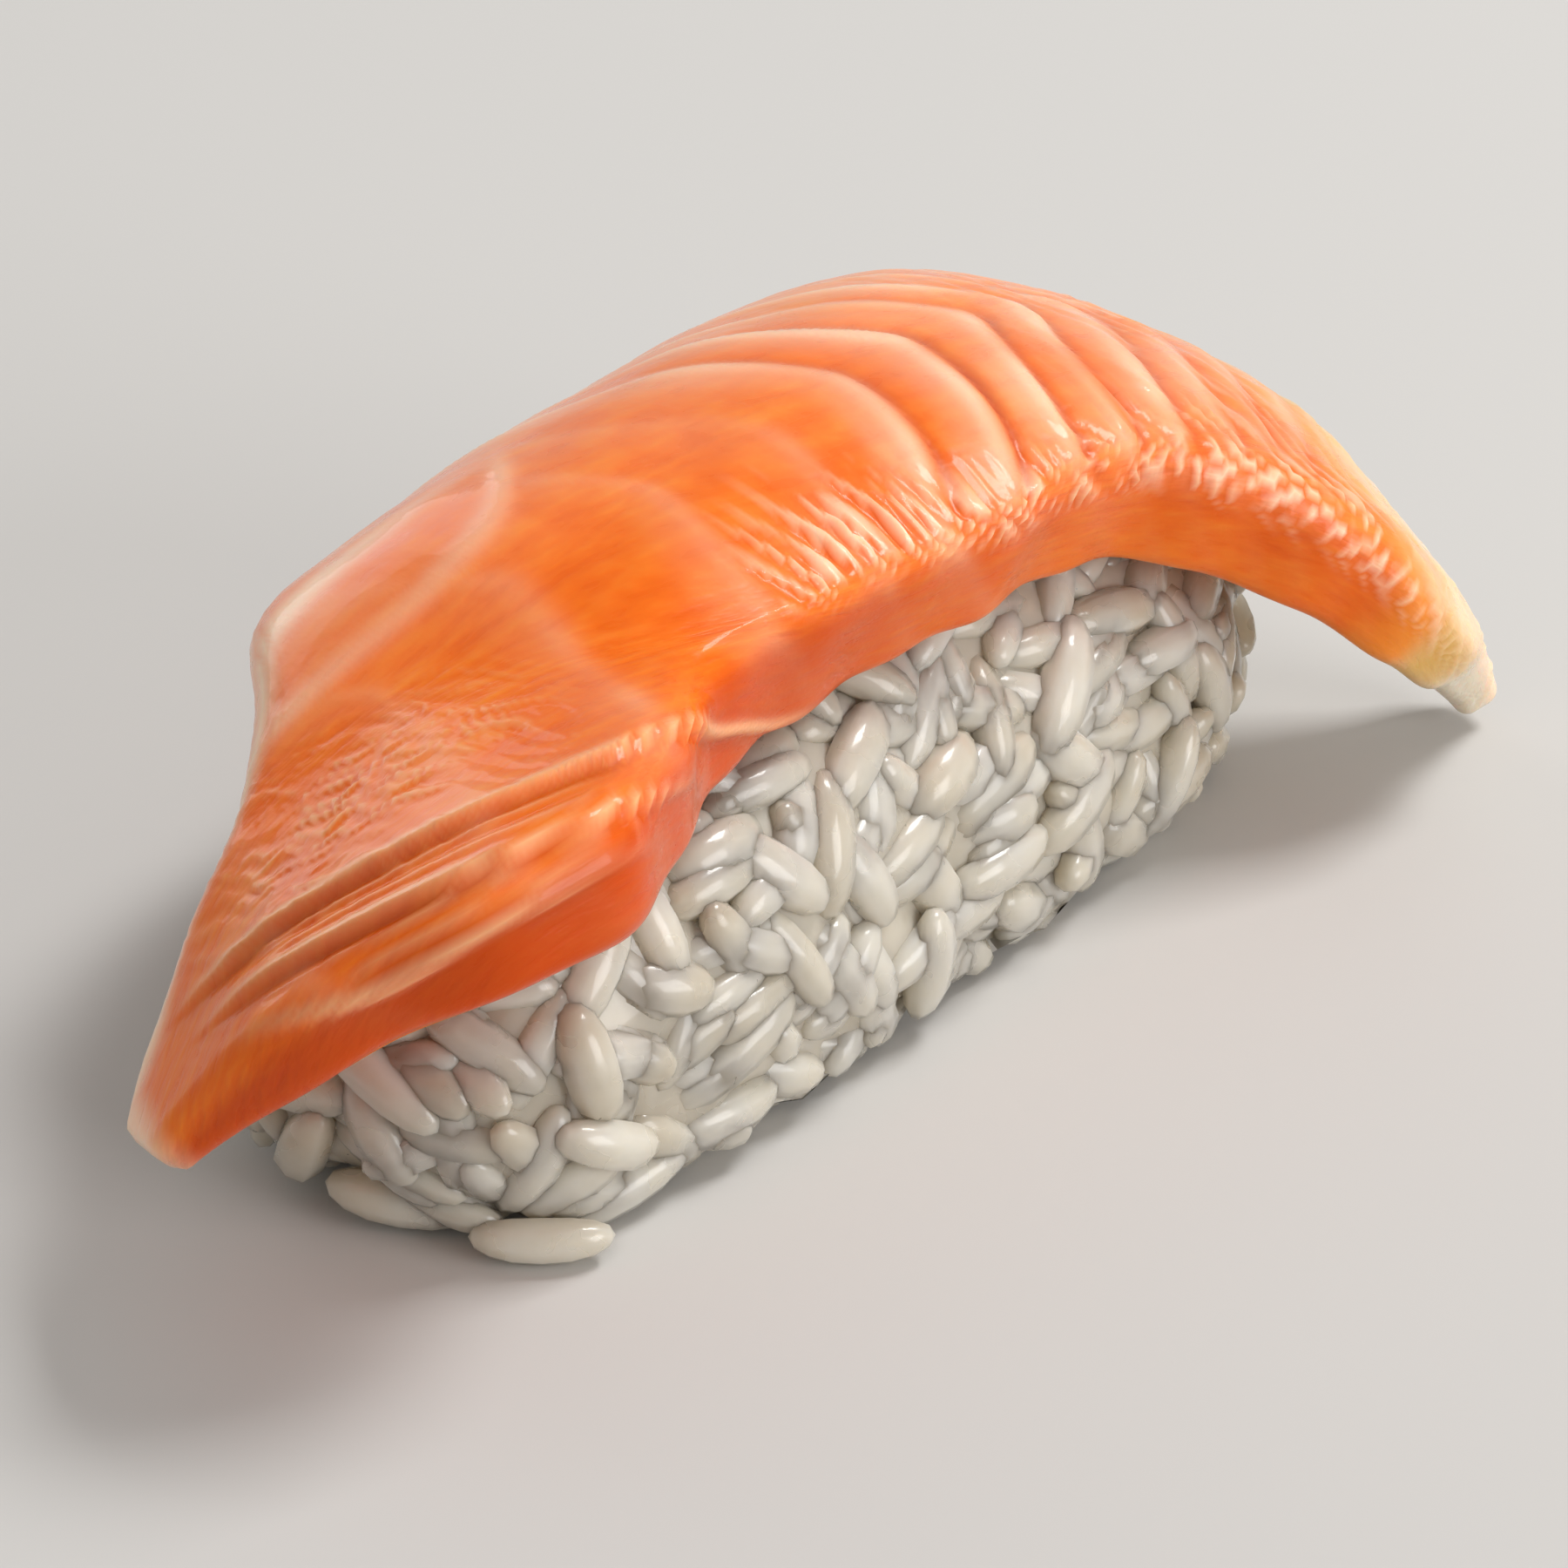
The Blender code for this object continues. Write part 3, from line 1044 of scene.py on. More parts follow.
    def find_patterns(self, at: SlicePlaces, random: np.random.Generator) -> SlicePatterns:
        """Fat, flake steps and fibres at each place, faded out down the side faces.

        Args:
            at: Places on the surface.
            random: Source of the patterns' unevenness.

        Returns:
            The patterns.
        """
        off_top = at.on_far | at.on_near | at.on_under
        layer = at.along - self.layer_lean * np.where(off_top, at.down, 0.0)
        fat, crease = self.fat_lines.amounts(layer, at.across, random)
        step_height, lips, grooves = self.flake_steps.relief(at.along, at.across)
        strokes, pale, gold_and_glint = self.fibres.strokes(layer, at.across, at.near_width, random)
        fade = tuple(end.at(at.along) for end in self.top_fade)
        on_top = 1.0 - np.where(at.on_near, 1.0, self.far_top_fade) * rise(fade, at.down)
        return SlicePatterns(
            fat=fat * np.where(at.on_near, mix(self.near_face_fat, 1.0, on_top), 1.0), crease=crease,
            step_height=step_height, lips=lips, grooves=grooves,
            strokes=strokes * on_top, pale=pale * on_top, gold_and_glint=gold_and_glint * on_top, on_top=on_top,
            cut=rise(self.cut_down, at.down) * np.where(at.on_under, self.under_cut, 1.0))

    def relief(self, at: SlicePlaces, found: SlicePatterns, points: np.ndarray,
               random: np.random.Generator) -> np.ndarray:
        """Height of the surface's relief: steps, welts of fat, strokes and a slow swell.

        Args:
            at: Places on the surface.
            found: Patterns at those places.
            points: The surface without its relief.
            random: Source of the swell.

        Returns:
            Height at each place, in millimetres.
        """
        shown = 1.0 - at.on_under
        swell = wobble(random, points / MM, (self.swell_size,) * 3)
        steps = found.step_height * shown * mix(self.face_steps, 1.0, found.on_top)
        lines = (self.welt_height * found.fat - self.crease_depth * found.crease) * (1.0 - found.cut)
        strokes = self.stroke_height.at(at.along) * found.strokes * mix(self.under_strokes, 1.0, shown)
        return steps + lines + strokes + self.swell_height * swell * mix(self.under_swell, 1.0, shown)

    def put_colours(self, piece: bpy.types.Object, at: SlicePlaces, found: SlicePatterns,
                    points: np.ndarray, random: np.random.Generator) -> None:
        """Store what the finish reads: fat with painted sheen and highlights, tail colours, cut flesh with
        painted shade, and the place on the slice.

        Args:
            piece: The slice.
            at: Places on the surface.
            found: Patterns at those places.
            points: The surface's points.
            random: Source of the tail colours' unevenness.
        """
        s, shown = at.along, 1.0 - at.on_under
        drift = self.tail_colour_drift * wobble(random, points / MM, (self.tail_colour_size,) * 3)
        past = s + self.tail_colour_lean * at.across - self.tail_colour_start + drift
        tail = np.clip(past / self.tail_colour_length, 0.0, 1.0)
        warm = self.warm_face.at(s) * rise(self.warm_face_down, at.down) * at.on_near
        # Painted highlight: gold on the flakes' lips and the fibres' crests, with the real gold of the patch
        # by the tip.
        gold_and_glint = np.maximum(found.gold_and_glint, self.lip_highlight_gold * found.lips) * shown
        fat = self.fat_strength * found.fat * (1.0 - self.fat_under_cut * found.cut)
        # Pale edges, with painted rim highlights along the far rim and the tail's top.
        fat = np.clip(np.maximum(fat, self.pale_edges.amount(at)), 0.0, 1.0)
        # Painted highlights on the flakes' lips and the fibres' crests, in the pale colour.
        crest_highlights = np.maximum(self.lip_highlight * found.lips, self.stroke_highlight * found.pale * shown)
        # Painted shade on the side faces and the underside, with the deeper colour of cut flesh.
        side = self.side_depth_and_shade.at(s) * found.cut
        # Painted shade in the flakes' grooves and in the creases by the fat lines.
        hollow_shade = np.maximum(self.groove_shade * found.grooves, found.crease)
        put_attribute(piece, "fat", np.maximum(fat, crest_highlights))
        put_attribute(piece, "tail", np.maximum(tail, np.maximum(warm, gold_and_glint)))
        put_attribute(piece, "cut", np.maximum(side, hollow_shade))
        put_attribute(piece, "lay", np.stack([s, at.across, at.down], -1) * MM)

    def build(self, look: bpy.types.Material) -> bpy.types.Object:
        """Make the slice's mesh, with its relief and the attributes its finish reads.

        Args:
            look: Finish of the fish.

        Returns:
            The finished piece.
        """
        random = np.random.default_rng(self.seed)
        share, opened = self.loop_places()
        across, height = self.loops(share, opened)
        points = self.lay(share, across, height)
        at = self.find_places(share, across, height)
        found = self.find_patterns(at, random)
        from_end = np.minimum(share, 1.0 - share) * self.length / MM
        kept = (opened * rise(self.relief_ends, from_end))[:, None]
        relief = self.relief(at, found, points, random) * kept * MM
        points = points + loop_normals(points) * relief[..., None]
        piece = make_mesh("salmon_flesh", points, tube_faces(*across.shape))
        self.put_colours(piece, at, found, points, random)
        merge_points(piece)
        piece.data.materials.append(look)
        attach(piece, BODY)
        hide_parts("salmon_slice")
        return piece


# ---------------------------------------------------------------------------------------------
# Rice
# ---------------------------------------------------------------------------------------------


@dataclass(frozen=True)
class GrainShape:
    """One cooked grain: a plump, slightly bent spindle with blunt ends and a shallow groove."""

    length: float = 6.4 * MM
    width: float = 2.45 * MM
    depth: float = 2.2 * MM
    bend: float = 0.28 * MM
    rings: int = 9
    sides: int = 8
    ring_crowding: float = 1.8
    end_power: float = 2.5
    arch_power: float = 2.1
    groove_depth: float = 0.1
    groove_width: float = 0.5

    def template(self) -> tuple[np.ndarray, np.ndarray]:
        """Mesh of one grain along x: rings of ellipses whose size is a squarish arch of the length.

        The rings lie closer together towards the ends, where the last ones are points.

        Returns:
            Vertices and faces, before the points of an end ring are merged.
        """
        even = np.linspace(-1.0, 1.0, self.rings)
        share = (np.sign(even) * (1.0 - (1.0 - np.abs(even)) ** self.ring_crowding))[:, None]
        size = (1.0 - np.abs(share) ** self.end_power) ** (1.0 / self.arch_power)
        angle = np.arange(self.sides) / self.sides * FULL_TURN
        groove = 1.0 - self.groove_depth * bell(angle - math.pi / 2, self.groove_width)
        x = np.repeat(share * self.length / 2, self.sides, 1)
        y = size * np.cos(angle) * self.width / 2
        z = size * np.sin(angle) * groove * self.depth / 2 - self.bend * share ** 2
        # The rings' points run the other way round their path, so the faces are turned over.
        faces = tube_faces(self.rings, self.sides)[:, [0, 3, 2, 1]]
        return np.stack([x, y, z], -1).reshape(-1, 3), faces


@dataclass(frozen=True)
class PlacedGrain:
    """A listed grain where one stands out: its middle, heading from above and slope."""

    middle: tuple[float, float, float]
    heading: float
    slope: float

    def direction(self) -> tuple[float, float, float]:
        """Direction of the grain's length."""
        level = math.cos(self.slope)
        return math.cos(self.heading) * level, math.sin(self.heading) * level, math.sin(self.slope)


@dataclass(frozen=True)
class GrainLayer:
    """A layer of grains: its depth under the skin, the room each keeps and how far they tilt."""

    depth: float
    clearance: float
    tilt: float


@dataclass(frozen=True)
class RiceBlock:
    """Pressed block of vinegared rice: a starchy core with whole grains packed on its skin.

    Grains are thrown at the skin in random order, and each stays if it keeps clear of the ones
    before it in its layer. Two deeper layers show in the gaps. Towards the foot the grains lie and
    tilt more freely, and clusters of them stand out further. Pairs of spreads are for grains above
    and under the loose height, and sizes of random fields are in millimetres.
    """

    block: BlockShape
    grain: GrainShape
    seed: int = 11
    tries: int = 12000
    layers: tuple[GrainLayer, ...] = (
        GrainLayer(0.8 * MM, 2.0 * MM, 0.24),
        GrainLayer(1.05 * MM, 1.75 * MM, 0.16),
        GrainLayer(1.3 * MM, 1.7 * MM, 0.1))
    placed: tuple[PlacedGrain, ...] = (
        PlacedGrain((-26.0 * MM, -9.3 * MM, 1.15 * MM), math.radians(-50.0), 0.0),
        PlacedGrain((-23.2 * MM, -10.9 * MM, 5.5 * MM), math.radians(-13.0), math.radians(-28.0)),
        PlacedGrain((-23.4 * MM, -10.0 * MM, 9.4 * MM), math.radians(-80.0), math.radians(-72.0)))
    climb_sines: Pair = (-0.35, 0.97)
    loose_height: float = 5.0 * MM
    turn_spread: Pair = (0.75, 1.0)
    tilt_spread: Pair = (1.0, 1.6)
    poke_share: float = 0.36
    ball_share: float = 0.31
    lowest_middle: float = 1.1 * MM
    nearly_up: tuple[float, float, float] = (0.0001, 0.0001, 1.0001)

    swell_height: Ease = Ease(0.85 * MM, 0.25 * MM, (4.0 * MM, 12.0 * MM))
    swell_size: float = 7.0
    core_depth: float = 1.15 * MM
    core_uneven: float = 0.2 * MM
    core_uneven_size: float = 5.0
    core_foot: float = 0.5 * MM
    # Painted shade: the core, seen in the gaps between grains, is less milky and greyer than the grains.
    core_shade_tint: float = 0.3
    core_turns: int = 120
    core_rows: int = 61

    size_spread: float = 0.09
    size_limit: float = 2.0
    pattern_room: float = 40.0 * MM
    grain_foot: float = 0.05 * MM
    tint_spread: float = 0.75
    belly_tint: float = 0.45

    def swell(self, points: np.ndarray) -> np.ndarray:
        """How far clusters of grains stand out of the block's skin, most of all at its foot.

        Args:
            points: Places on the skin.

        Returns:
            Distance outwards at each place.
        """
        field = wobble(np.random.default_rng(self.seed + 1), points / MM, (self.swell_size,) * 3)
        return self.swell_height.at(points[..., 2]) * field

    def throw(self, random: np.random.Generator, layer: GrainLayer,
              placed: tuple[PlacedGrain, ...]) -> tuple[np.ndarray, np.ndarray]:
        """Scatter one layer's grains over the skin, none closer to another than the clearance.

        A grain counts as three balls along its length, and it stays if all of them keep clear.

        Args:
            random: Source of places and directions.
            layer: The layer.
            placed: Grains that are there before the others.

        Returns:
            Middles, and each grain's own three axes as rows of a matrix.
        """
        middle, outward = self.random_places(random)
        side = unit(np.cross(outward, np.array(self.nearly_up)))
        up_skin = np.cross(outward, side)
        loose = (middle[:, 2] < self.loose_height).astype(int)
        turn = random.normal(0.0, np.take(self.turn_spread, loose), self.tries)
        lean = random.normal(0.0, np.take(self.tilt_spread, loose) * layer.tilt, self.tries)
        level = side * np.cos(turn)[:, None] + up_skin * np.sin(turn)[:, None]
        along = level * np.cos(lean)[:, None] + outward * np.sin(lean)[:, None]
        poke = np.abs(np.sin(lean)) * self.poke_share * self.grain.length
        middle = middle + outward * (self.swell(middle) - layer.depth - poke)[:, None]
        for number, grain in enumerate(placed):
            middle[number], along[number] = grain.middle, grain.direction()
            outward[number] = self.block.outward(middle[number:number + 1])[0]
        across = unit(np.cross(outward, along))
        reach = self.ball_share * self.grain.length * along
        balls = np.stack([middle - reach, middle, middle + reach], 1)
        kept = list(range(len(placed)))
        filled = balls[kept].reshape(-1, 3)
        for number in range(len(placed), self.tries):
            if balls[number, :, 2].min() < self.lowest_middle:
                continue
            away = np.linalg.norm(filled[:, None] - balls[number][None], axis=2)
            if filled.size and away.min() < layer.clearance:
                continue
            kept.append(number)
            filled = np.vstack([filled, balls[number]])
        return middle[kept], np.stack([along, across, np.cross(along, across)], 1)[kept]

    def random_places(self, random: np.random.Generator) -> tuple[np.ndarray, np.ndarray]:
        """Random places on the skin, as many as there are tries, with its outward directions.

        Args:
            random: Source of the places.

        Returns:
            Points and unit vectors.
        """
        turn = random.uniform(-math.pi, math.pi, self.tries)
        climb = np.arcsin(random.uniform(*self.climb_sines, self.tries))
        points = self.block.skin(turn, climb)
        return points, self.block.outward(points)

    def build_core(self, look: bpy.types.Material) -> bpy.types.Object:
        """Make the core: the block's skin from top to bottom, moved inwards, with a flat foot.

        Args:
            look: Finish of the rice.

        Returns:
            The finished piece.
        """
        turn, climb = np.meshgrid(np.linspace(-math.pi, math.pi, self.core_turns + 1)[:-1],
                                  np.linspace(math.pi / 2, -math.pi / 2, self.core_rows))
        skin = self.block.skin(turn, climb)
        uneven = wobble(np.random.default_rng(self.seed), skin / MM, (self.core_uneven_size,) * 3)
        depth = self.core_depth + self.core_uneven * uneven - self.swell(skin)
        points = skin - self.block.outward(skin) * depth[..., None]
        points[..., 2] = np.maximum(points[..., 2], self.core_foot)
        piece = make_mesh("rice_core", points, tube_faces(self.core_rows, self.core_turns))
        # The core's low milkiness is painted shade in the gaps.
        return self.dress(piece, look, np.full(turn.shape, self.core_shade_tint), points)

    def build_grains(self, look: bpy.types.Material) -> bpy.types.Object:
        """Make all grains as one mesh: the template turned, sized and moved for each at once.

        Args:
            look: Finish of the rice.

        Returns:
            The finished piece.
        """
        random = np.random.default_rng(self.seed)
        thrown = [self.throw(random, layer, () if number else self.placed)
                  for number, layer in enumerate(self.layers)]
        middle, axes = (np.concatenate(parts) for parts in zip(*thrown))
        count = len(middle)
        uneven = np.clip(random.normal(size=(count, 3)), -self.size_limit, self.size_limit)
        vertices, faces = self.grain.template()
        local = vertices[None] * (1.0 + self.size_spread * uneven)[:, None]
        points = middle[:, None] + np.einsum("gvk,gkc->gvc", local, axes)
        points[..., 2] = np.maximum(points[..., 2], self.grain_foot)
        every = faces[None] + (np.arange(count) * len(vertices))[:, None, None]
        piece = make_mesh("rice_grains", points, every.reshape(-1, 4))
        lay = local + random.uniform(0.0, self.pattern_room, (count, 1, 3))
        belly = 1.0 - 2.0 * np.abs(vertices[:, 0]) / self.grain.length
        tint = random.uniform(0.0, self.tint_spread, (count, 1)) + self.belly_tint * belly[None]
        LOG.info("%d grains", count)
        return self.dress(piece, look, np.clip(tint, 0.0, 1.0), lay)

    def dress(self, piece: bpy.types.Object, look: bpy.types.Material, tint: np.ndarray,
              lay: np.ndarray) -> bpy.types.Object:
        """Close a piece and give it its finish and its place in the frame.

        Args:
            piece: Core or grains.
            look: Finish of the rice.
            tint: Milkiness of each vertex, 0 to 1; on the core, low, as painted shade in the gaps.
            lay: Place of each vertex in the finish's patterns.

        Returns:
            The same piece.
        """
        put_attribute(piece, "tint", tint)
        put_attribute(piece, "lay", lay)
        merge_points(piece)
        piece.data.materials.append(look)
        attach(piece, BODY)
        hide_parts("rice")
        return piece


# ---------------------------------------------------------------------------------------------
# Finishes
# ---------------------------------------------------------------------------------------------


class Graph:
    """Node tree of one material, with one small function that adds a node."""

    def __init__(self, name: str) -> None:
        """Start an empty material of that name."""
        self.material = bpy.data.materials.new(name)
        self.material.use_nodes = True
        self.tree = self.material.node_tree
        self.tree.nodes.clear()

    def add(self, kind: str, inputs: dict | None = None, stops: tuple[tuple[float, str], ...] = (),
            **settings: object) -> bpy.types.Node:
        """Add a node, set its properties and fill its inputs.

        Args:
            kind: Node type.
            inputs: By input name or number, a value, another node's output, or a node that stands
                for its first output.
            stops: Place and sRGB hex code of each stop of a colour ramp, in order.
            settings: Properties of the node.

        Returns:
            The node.
        """
        node = self.tree.nodes.new(kind)
        for name, value in settings.items():
            setattr(node, name, value)
        for name, value in (inputs or {}).items():
            source = value.outputs[0] if isinstance(value, bpy.types.Node) else value
            if isinstance(source, bpy.types.NodeSocket):
                self.tree.links.new(source, node.inputs[name])
            else:
                node.inputs[name].default_value = source
        if stops:
            elements = node.color_ramp.elements
            elements[0].position, elements[1].position = stops[0][0], stops[-1][0]
            for place, _ in stops[1:-1]:
                elements.new(place)
            for element, (_, code) in zip(elements, stops):
                element.color = linear(code)
        return node


@dataclass(frozen=True)
class RawSalmon:
    """Raw salmon, sliced with a long knife: wet, translucent orange flesh with pale fat lines.

    Light goes a few millimetres into the flesh and comes out redder. The knife leaves a smooth wet
    face that shines, and the fibres' ends break the shine up.
    """

    flesh: str = "#F06E0E"
    shade: str = "#E45C04"
    # Deep flesh, also used as painted shade.
    deep_flesh_and_shade: str = "#C03E00"
    light: str = "#F68422"
    # Pale fat, also the colour of painted sheen and highlights.
    fat: str = "#FCD5B4"
    tail_flesh: str = "#EC8826"
    tail_gold: str = "#D6A758"
    tail_end: str = "#DDD0B8"
    cloud_size: float = 6.25 * MM
    fibre_length: float = 2.469 * MM
    fibre_width: float = 0.7407 * MM
    fibre_end_size: float = 0.5263 * MM
    deepest_and_shade: float = 0.9
    palest: float = 0.96
    tail_blend: float = 0.3

    def build(self) -> bpy.types.Material:
        """Make the material.

        Returns:
            The material.
        """
        graph = Graph("raw_salmon_knife_cut")
        lay = graph.add("ShaderNodeAttribute", attribute_name="lay").outputs["Vector"]
        fat, tail, cut = (graph.add("ShaderNodeAttribute", attribute_name=name).outputs["Fac"]
                          for name in ("fat", "tail", "cut"))

        # Cloudy change of the flesh's depth of colour.
        cloud = graph.add("ShaderNodeTexNoise", {
            "Vector": lay, "Scale": 1.0 / self.cloud_size, "Detail": 3.0, "Roughness": 0.6})
        # Fibres drawn out along the slice.
        stretched = graph.add("ShaderNodeMapping", {
            "Vector": lay, "Scale": (self.fibre_width / self.fibre_length, 1.0, 1.0)})
        fibre = graph.add("ShaderNodeTexNoise", {
            "Vector": stretched, "Scale": 1.0 / self.fibre_width, "Detail": 2.0, "Roughness": 0.5})
        both = graph.add("ShaderNodeMath", {0: cloud, 1: fibre}, operation="ADD")
        mean = graph.add("ShaderNodeMath", {0: both, 1: 0.5}, operation="MULTIPLY")
        flesh = graph.add("ShaderNodeValToRGB", {"Fac": mean},
                          stops=((0.3, self.shade), (0.5, self.flesh), (0.7, self.light)))
        # Cut faces take a deeper colour of the flesh, and painted shade darkens the side faces, the
        # underside, the grooves and the creases.
        depth = graph.add("ShaderNodeMath", {0: cut, 1: self.deepest_and_shade}, operation="MULTIPLY")
        deep_and_shaded = graph.add("ShaderNodeMix", {0: depth, 6: flesh, 7: linear(self.deep_flesh_and_shade)}, data_type="RGBA")
        # The tail goes golden, then cream where it is thin.
        golden = graph.add("ShaderNodeValToRGB", {"Fac": tail}, stops=(
            (self.tail_blend, self.tail_flesh), (0.6, self.tail_gold), (1.0, self.tail_end)))
        tail_share = graph.add("ShaderNodeMapRange", {
            "Value": tail, "From Min": 0.0, "From Max": self.tail_blend}, interpolation_type="SMOOTHSTEP")
        ended = graph.add("ShaderNodeMix", {
            0: tail_share, 6: deep_and_shaded.outputs[2], 7: golden}, data_type="RGBA")
        # Fat lines, with painted sheen and highlights in the same pale colour.
        fat_share = graph.add("ShaderNodeMath", {0: fat, 1: self.palest}, operation="MULTIPLY")
        marbled = graph.add("ShaderNodeMix", {
            0: fat_share, 6: ended.outputs[2], 7: linear(self.fat)}, data_type="RGBA")

        # Wet film, its roughness uneven over the fibres.
        rough = graph.add("ShaderNodeMapRange", {
            "Value": fibre, "From Min": 0.3, "From Max": 0.7, "To Min": 0.24, "To Max": 0.4})
        # Fibre ends over the pattern of the fibres, drawn coarser than they are so that they show.
        ends = graph.add("ShaderNodeTexNoise", {
            "Vector": lay, "Scale": 1.0 / self.fibre_end_size, "Detail": 2.0})
        bump = graph.add("ShaderNodeBump", {"Height": fibre, "Strength": 0.35, "Distance": 0.25 * MM})
        bump = graph.add("ShaderNodeBump", {
            "Height": ends, "Strength": 0.25, "Distance": 0.12 * MM, "Normal": bump})
        shader = graph.add("ShaderNodeBsdfPrincipled", {
            "Base Color": marbled.outputs[2], "Roughness": rough, "Normal": bump,
            "IOR": 1.36, "Subsurface Weight": 0.4, "Subsurface Radius": (1.0, 0.42, 0.2),
            "Subsurface Scale": 1.6 * MM, "Specular IOR Level": 0.18, "Coat Weight": 0.4,
            "Coat Roughness": 0.05, "Coat IOR": 1.33})
        graph.add("ShaderNodeOutputMaterial", {"Surface": shader})
        return graph.material


@dataclass(frozen=True)
class CookedRice:
    """Cooked short-grain rice dressed with vinegar: translucent, sticky and glossy.

    Light spreads through the grains, so they look milky, and their starchy film shines.
    """

    starch: str = "#EAE0CD"
    milky: str = "#FAF1E1"
    clear: str = "#D5C8B3"
    cloud_size: float = 2.381 * MM
    film_size: float = 0.6667 * MM

    def build(self) -> bpy.types.Material:
        """Make the material.

        Returns:
            The material.
        """
        graph = Graph("cooked_rice_vinegared")
        lay = graph.add("ShaderNodeAttribute", attribute_name="lay").outputs["Vector"]
        # Milky belly inside each grain.
        cloud = graph.add("ShaderNodeTexNoise", {
            "Vector": lay, "Scale": 1.0 / self.cloud_size, "Detail": 2.0, "Roughness": 0.5})
        tint = graph.add("ShaderNodeAttribute", attribute_name="tint").outputs["Fac"]
        both = graph.add("ShaderNodeMath", {0: cloud, 1: tint}, operation="ADD")
        mean = graph.add("ShaderNodeMath", {0: both, 1: 0.5}, operation="MULTIPLY")
        colour = graph.add("ShaderNodeValToRGB", {"Fac": mean},
                           stops=((0.2, self.clear), (0.5, self.starch), (0.8, self.milky)))
        rough = graph.add("ShaderNodeMapRange", {
            "Value": cloud, "From Min": 0.3, "From Max": 0.7, "To Min": 0.22, "To Max": 0.4})
        # Starchy film, a little uneven.
        film = graph.add("ShaderNodeTexNoise", {
            "Vector": lay, "Scale": 1.0 / self.film_size, "Detail": 2.0})
        bump = graph.add("ShaderNodeBump", {"Height": film, "Strength": 0.2, "Distance": 0.1 * MM})
        shader = graph.add("ShaderNodeBsdfPrincipled", {
            "Base Color": colour, "Roughness": rough, "Normal": bump, "IOR": 1.38,
            "Transmission Weight": 0.38, "Subsurface Weight": 0.6, "Subsurface Radius": (1.0, 0.95, 0.85),
            "Subsurface Scale": 1.6 * MM, "Coat Weight": 0.5, "Coat Roughness": 0.08})
        graph.add("ShaderNodeOutputMaterial", {"Surface": shader})
        return graph.material


@dataclass(frozen=True)
class PaintedFloor:
    """Matt pale floor, painted board with a faint unevenness."""

    paint: str = "#CBC9C6"
    cloud_size: float = 33.33 * MM

    def build(self) -> bpy.types.Material:
        """Make the material.

        Returns:
            The material.
        """
        graph = Graph("matt_painted_board")
        place = graph.add("ShaderNodeTexCoord").outputs["Object"]
        cloud = graph.add("ShaderNodeTexNoise", {
            "Vector": place, "Scale": 1.0 / self.cloud_size, "Detail": 2.0})
        rough = graph.add("ShaderNodeMapRange", {"Value": cloud, "To Min": 0.86, "To Max": 0.94})
        shader = graph.add("ShaderNodeBsdfPrincipled", {
            "Base Color": linear(self.paint), "Roughness": rough})
        graph.add("ShaderNodeOutputMaterial", {"Surface": shader})
        return graph.material


# ---------------------------------------------------------------------------------------------
# Studio
# ---------------------------------------------------------------------------------------------


@dataclass(frozen=True)
class SoftLight:
    """Square soft light, with its direction from the piece in degrees."""

    name: str
    azimuth: float
    elevation: float
    distance: float
    size: float
    power: float


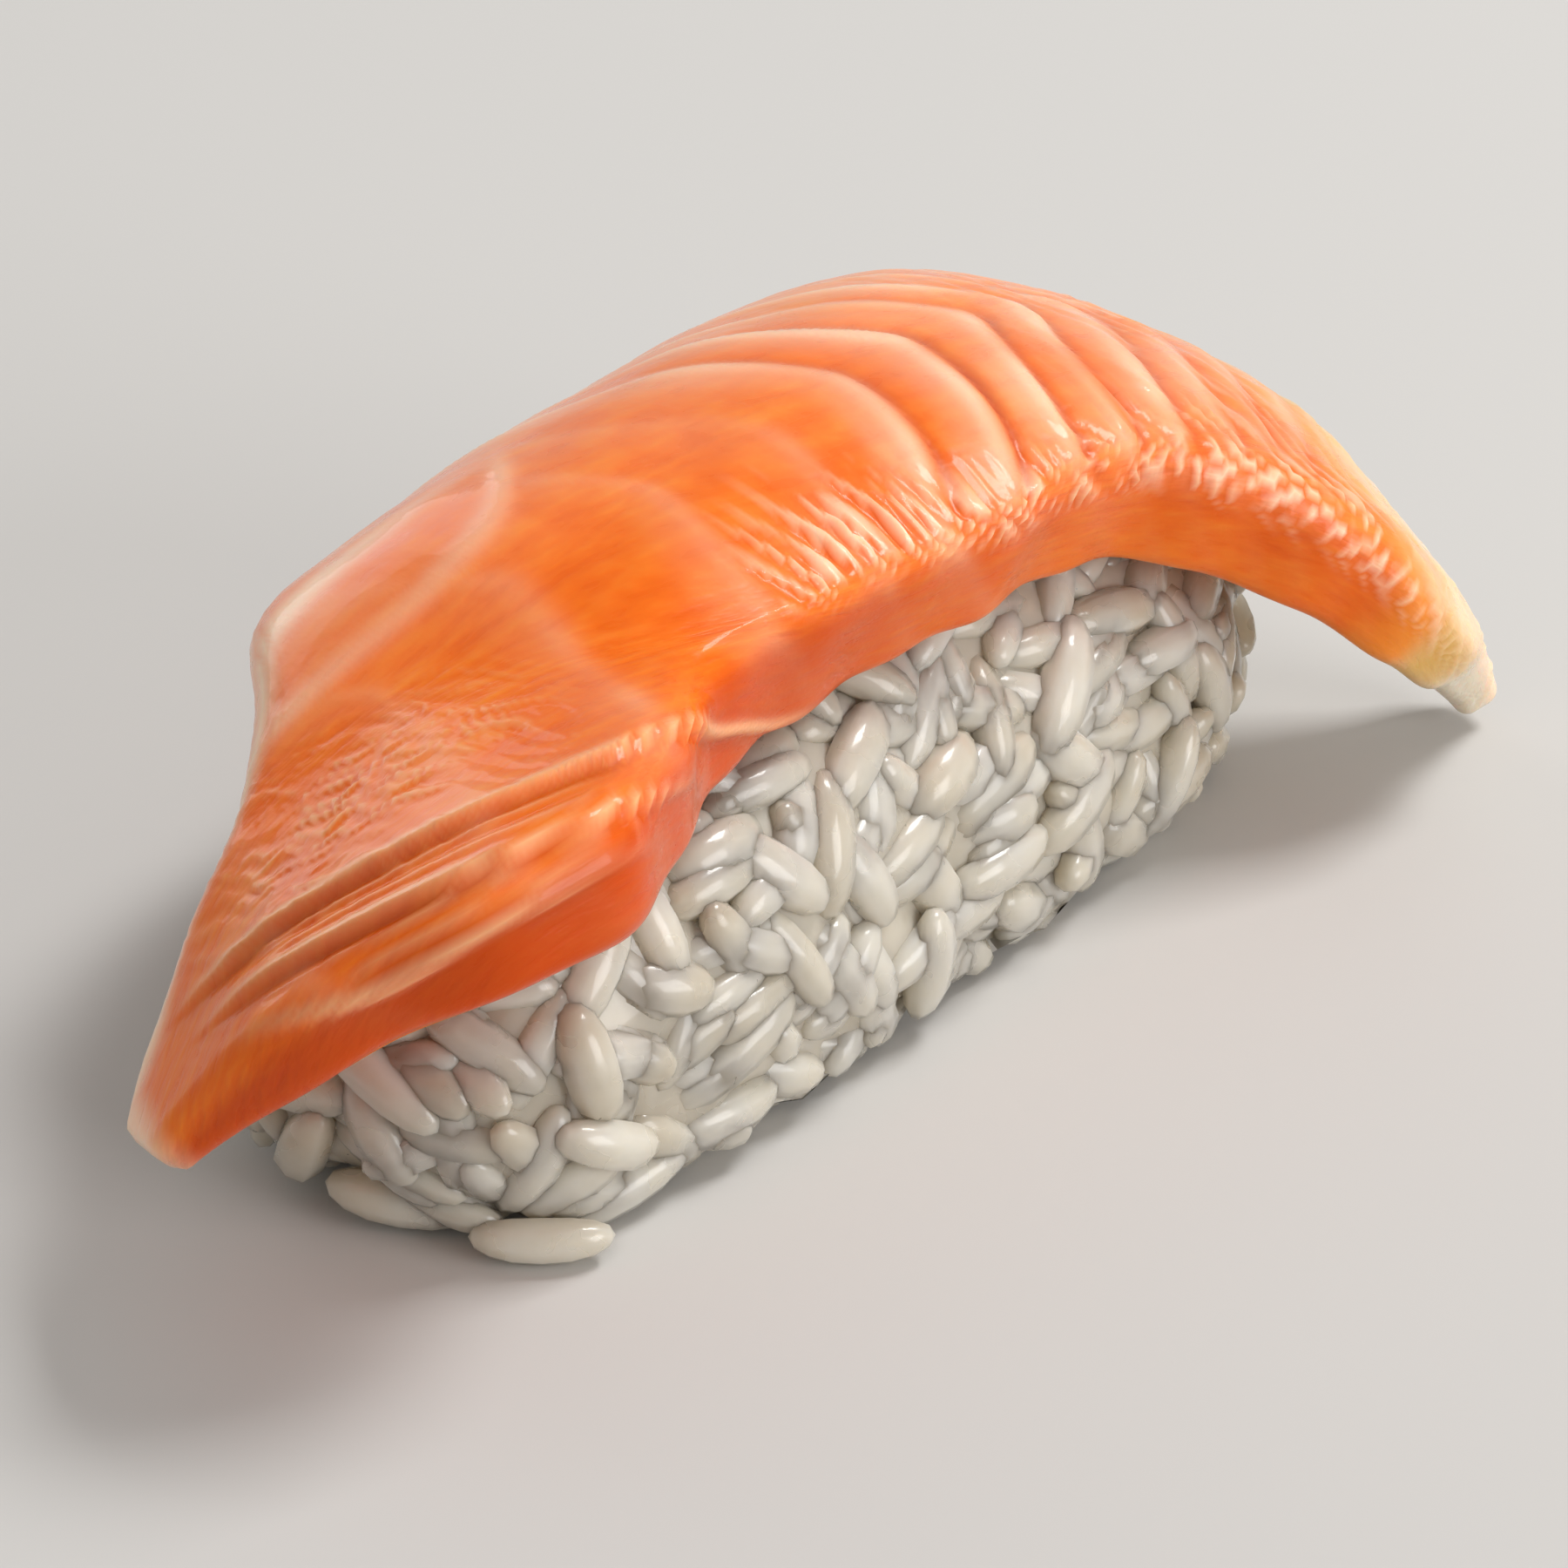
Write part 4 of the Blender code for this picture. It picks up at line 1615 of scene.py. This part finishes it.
@dataclass(frozen=True)
class Studio:
    """Pale floor, soft lights and the camera."""

    azimuth: float = math.radians(-51.2)
    elevation: float = math.radians(32.5)
    distance: float = 293.0 * MM
    view_angle: float = math.radians(14.0)
    target: Pair = (1.46 * MM, -3.32 * MM)
    target_height: float = 12.0 * MM
    sensor_width: float = 36.0
    nearest_view: float = 10.0 * MM
    floor_half_width: float = 1500.0 * MM
    room_colour: str = "#F1EFEC"
    room_strength: float = 0.52
    lights: tuple[SoftLight, ...] = (
        SoftLight("skylight", azimuth=62.0, elevation=60.0, distance=0.7, size=0.22, power=3.0),
        SoftLight("window", azimuth=160.0, elevation=14.0, distance=0.8, size=0.4, power=0.7),
        SoftLight("front", azimuth=8.0, elevation=16.0, distance=0.9, size=0.5, power=4.2))

    def direction(self, azimuth: float, elevation: float) -> Vector:
        """Direction from the piece towards a viewer at those angles."""
        level = math.cos(elevation)
        return Vector((math.sin(azimuth) * level, -math.cos(azimuth) * level, math.sin(elevation)))

    def build(self, floor_look: bpy.types.Material) -> None:
        """Make the floor, the lights, the room's light and the camera.

        Args:
            floor_look: Finish of the floor.
        """
        corners = np.array([[-1.0, -1.0, 0.0], [1.0, -1.0, 0.0], [1.0, 1.0, 0.0], [-1.0, 1.0, 0.0]])
        floor = make_mesh("studio_floor", corners * self.floor_half_width, np.arange(4)[None])
        floor.data.materials.append(floor_look)
        for light in self.lights:
            self.build_light(light)
        world = bpy.data.worlds.new("soft_room")
        world.use_nodes = True
        background = world.node_tree.nodes["Background"]
        background.inputs["Color"].default_value = linear(self.room_colour)
        background.inputs["Strength"].default_value = self.room_strength
        bpy.context.scene.world = world
        bpy.context.scene.view_settings.view_transform = "Standard"
        self.build_camera()

    def build_light(self, light: SoftLight) -> None:
        """Make one square light that points at the piece.

        Args:
            light: Its place, size and power.
        """
        lamp = bpy.data.lights.new(light.name, "AREA")
        lamp.shape = "SQUARE"
        lamp.size = light.size
        lamp.energy = light.power
        holder = bpy.data.objects.new(light.name, lamp)
        towards = self.direction(math.radians(light.azimuth), math.radians(light.elevation))
        holder.location = towards * light.distance
        holder.rotation_euler = towards.to_track_quat("Z", "Y").to_euler()
        bpy.context.scene.collection.objects.link(holder)

    def build_camera(self) -> None:
        """Make the camera, with a long lens and a level horizon."""
        back = self.direction(self.azimuth, self.elevation)
        right = Vector((math.cos(self.azimuth), math.sin(self.azimuth), 0.0))
        sideways, upwards = right * self.target[0], back.cross(right) * self.target[1]
        data = bpy.data.cameras.new("camera")
        data.sensor_width = self.sensor_width
        data.lens = self.sensor_width / 2 / math.tan(self.view_angle / 2)
        data.clip_start = self.nearest_view
        camera = bpy.data.objects.new("camera", data)
        aim = Vector((0.0, 0.0, self.target_height)) + sideways + upwards
        camera.location = aim + back * self.distance
        camera.rotation_euler = back.to_track_quat("Z", "Y").to_euler()
        bpy.context.scene.collection.objects.link(camera)
        bpy.context.scene.camera = camera


def main() -> None:
    """Build every piece and the studio."""
    logging.basicConfig(level=logging.INFO)
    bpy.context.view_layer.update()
    block = BlockShape()
    fish = SalmonSlice(block).build(RawSalmon().build())
    rice = RiceBlock(block, GrainShape())
    rice_look = CookedRice().build()
    for piece in (fish, rice.build_core(rice_look), rice.build_grains(rice_look)):
        LOG.info("%s: %d faces", piece.name, len(piece.data.polygons))
    Studio().build(PaintedFloor().build())
    bpy.context.view_layer.update()


if __name__ == "__main__":
    main()
